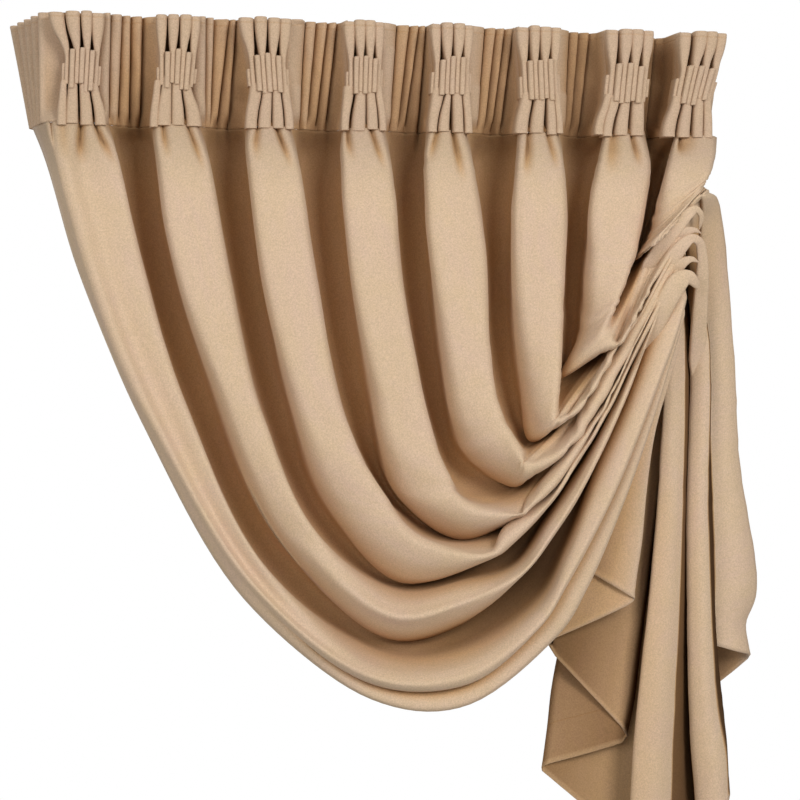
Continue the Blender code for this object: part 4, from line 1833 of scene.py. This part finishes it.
@dataclass(frozen=True)
class Lamp:
    """A square soft light.

    Attributes:
        name: Its name.
        place: Where it is.
        size: The length of its side.
        power: Its power in watts.
    """

    name: str
    place: tuple[float, float, float]
    size: float
    power: float


LAMPS = (
    Lamp("key", (1.1, -3.3, 0.8), 1.3, 73),
    Lamp("fill", (-2.2, -2.6, 0.4), 2.0, 38),
    Lamp("back", (-0.6, 3.2, 0.7), 2.0, 60),
)


@dataclass
class Studio:
    """A plain pale room with soft light, and the camera, in metres.

    Attributes:
        distance: How far the camera is from the middle of the heading, along the floor.
        azimuth: How far it is turned to the left, in degrees.
        eye: The camera's height.
        pitch: How far it looks down, in degrees.
        lens: Its focal length in mm.
        sensor: The width of its sensor in mm.
        sight: How far it sees.
        aim: What the lights point at.
        cloth_light: The strength of the room's own light on the cloth, where what the eye sees is 1.
        floor: The height of the floor.
        floor_size: How far it reaches to each side.
        floor_grey: How light it is.
    """

    distance: float = 2.6
    azimuth: float = -12.0
    eye: float = -0.403
    pitch: float = 1.861
    lens: float = 90.0
    sensor: float = 36.0
    sight: float = 50.0
    aim: tuple[float, float, float] = (0.0, 0.0, -0.5)
    cloth_light: float = 0.3
    floor: float = -1.75
    floor_size: float = 6.0
    floor_grey: float = 0.5

    def camera(self) -> None:
        """Sets up the camera at the photograph's viewing angle."""
        data = bpy.data.cameras.new("camera")
        data.lens = self.lens
        data.sensor_width = self.sensor
        data.clip_end = self.sight
        camera = placed("camera", data)
        turn, dip = math.radians(self.azimuth), math.radians(self.pitch)
        camera.location = (self.distance * math.sin(turn), -self.distance * math.cos(turn), self.eye)
        ahead = Vector((-math.sin(turn) * math.cos(dip), math.cos(turn) * math.cos(dip), -math.sin(dip)))
        camera.rotation_mode = "QUATERNION"
        camera.rotation_quaternion = ahead.to_track_quat("-Z", "Y")
        bpy.context.scene.camera = camera

    def light(self, lamp: Lamp) -> None:
        """Adds a light.

        Args:
            lamp: What it is like.
        """
        data = bpy.data.lights.new(lamp.name, "AREA")
        data.shape = "SQUARE"
        data.size = lamp.size
        data.energy = lamp.power
        place = Vector(lamp.place)
        towards = (Vector(self.aim) - place).to_track_quat("-Z", "Y")
        placed(lamp.name, data).matrix_world = Matrix.LocRotScale(place, towards, None)

    def surroundings(self) -> None:
        """Fills the room with soft white light, brighter to the eye than on the cloth."""
        world = bpy.data.worlds.new("studio")
        world.use_nodes = True
        tree = world.node_tree
        background = tree.nodes["Background"]
        background.inputs["Color"].default_value = (1, 1, 1, 1)
        rays = tree.nodes.new("ShaderNodeLightPath")
        strength = tree.nodes.new("ShaderNodeMapRange")
        strength.inputs["To Min"].default_value = self.cloth_light
        strength.inputs["To Max"].default_value = 1.0
        tree.links.new(rays.outputs["Is Camera Ray"], strength.inputs["Value"])
        tree.links.new(strength.outputs["Result"], background.inputs["Strength"])
        bpy.context.scene.world = world

    def ground(self) -> None:
        """Lays a pale floor well below the curtain."""
        size, grey = self.floor_size, self.floor_grey
        mesh = bpy.data.meshes.new("floor")
        corners = [(-size, -size), (size, -size), (size, size), (-size, size)]
        mesh.from_pydata([(x, y, self.floor) for x, y in corners], [], [(0, 1, 2, 3)])
        shader = Shader("pale_floor")
        shader.feed("Base Color", (grey, grey, grey, 1))
        shader.feed("Roughness", 0.8)
        glow = shader.node("ShaderNodeEmission", {}, {"Color": (1, 1, 1, 1), "Strength": 1.0})
        shader.mixed_with(shader.node("ShaderNodeLightPath"), glow)
        mesh.materials.append(shader.material)
        floor = placed("floor", mesh)

    def build(self) -> None:
        """Makes the camera, the lights and the floor."""
        settings = bpy.context.scene.view_settings
        settings.view_transform = "Standard"
        settings.look = "None"
        self.camera()
        self.surroundings()
        self.ground()
        for lamp in LAMPS:
            self.light(lamp)


def main() -> None:
    """Builds the curtain and its studio, piece by piece."""
    logging.basicConfig(level=logging.INFO, format="%(name)s: %(message)s")
    heading = Heading()
    knuckles = Gather().build()
    cloth = CurtainPanel(heading).build(knuckles)
    strip_and_pleats = heading.build()
    panel_velvet = Velvet("panel_velvet").material()
    heading_velvet = Velvet("heading_velvet", lit=(0.575, 0.416, 0.288, 1), golden=(0.56, 0.402, 0.266, 1),
                            rosy=(0.56, 0.4, 0.284, 1), stitch_from="from_top", stitch_at=0.0085,
                            stitch_shows=1.0, start_shade=1.0).material()
    for velvet, pieces in ((panel_velvet, (cloth, knuckles)), (heading_velvet, strip_and_pleats)):
        for piece in pieces:
            piece.data.materials.append(velvet)
            LOG.info("%s: %d faces", piece.name, len(piece.data.polygons))
    Studio().build()


if __name__ == "__main__":
    main()
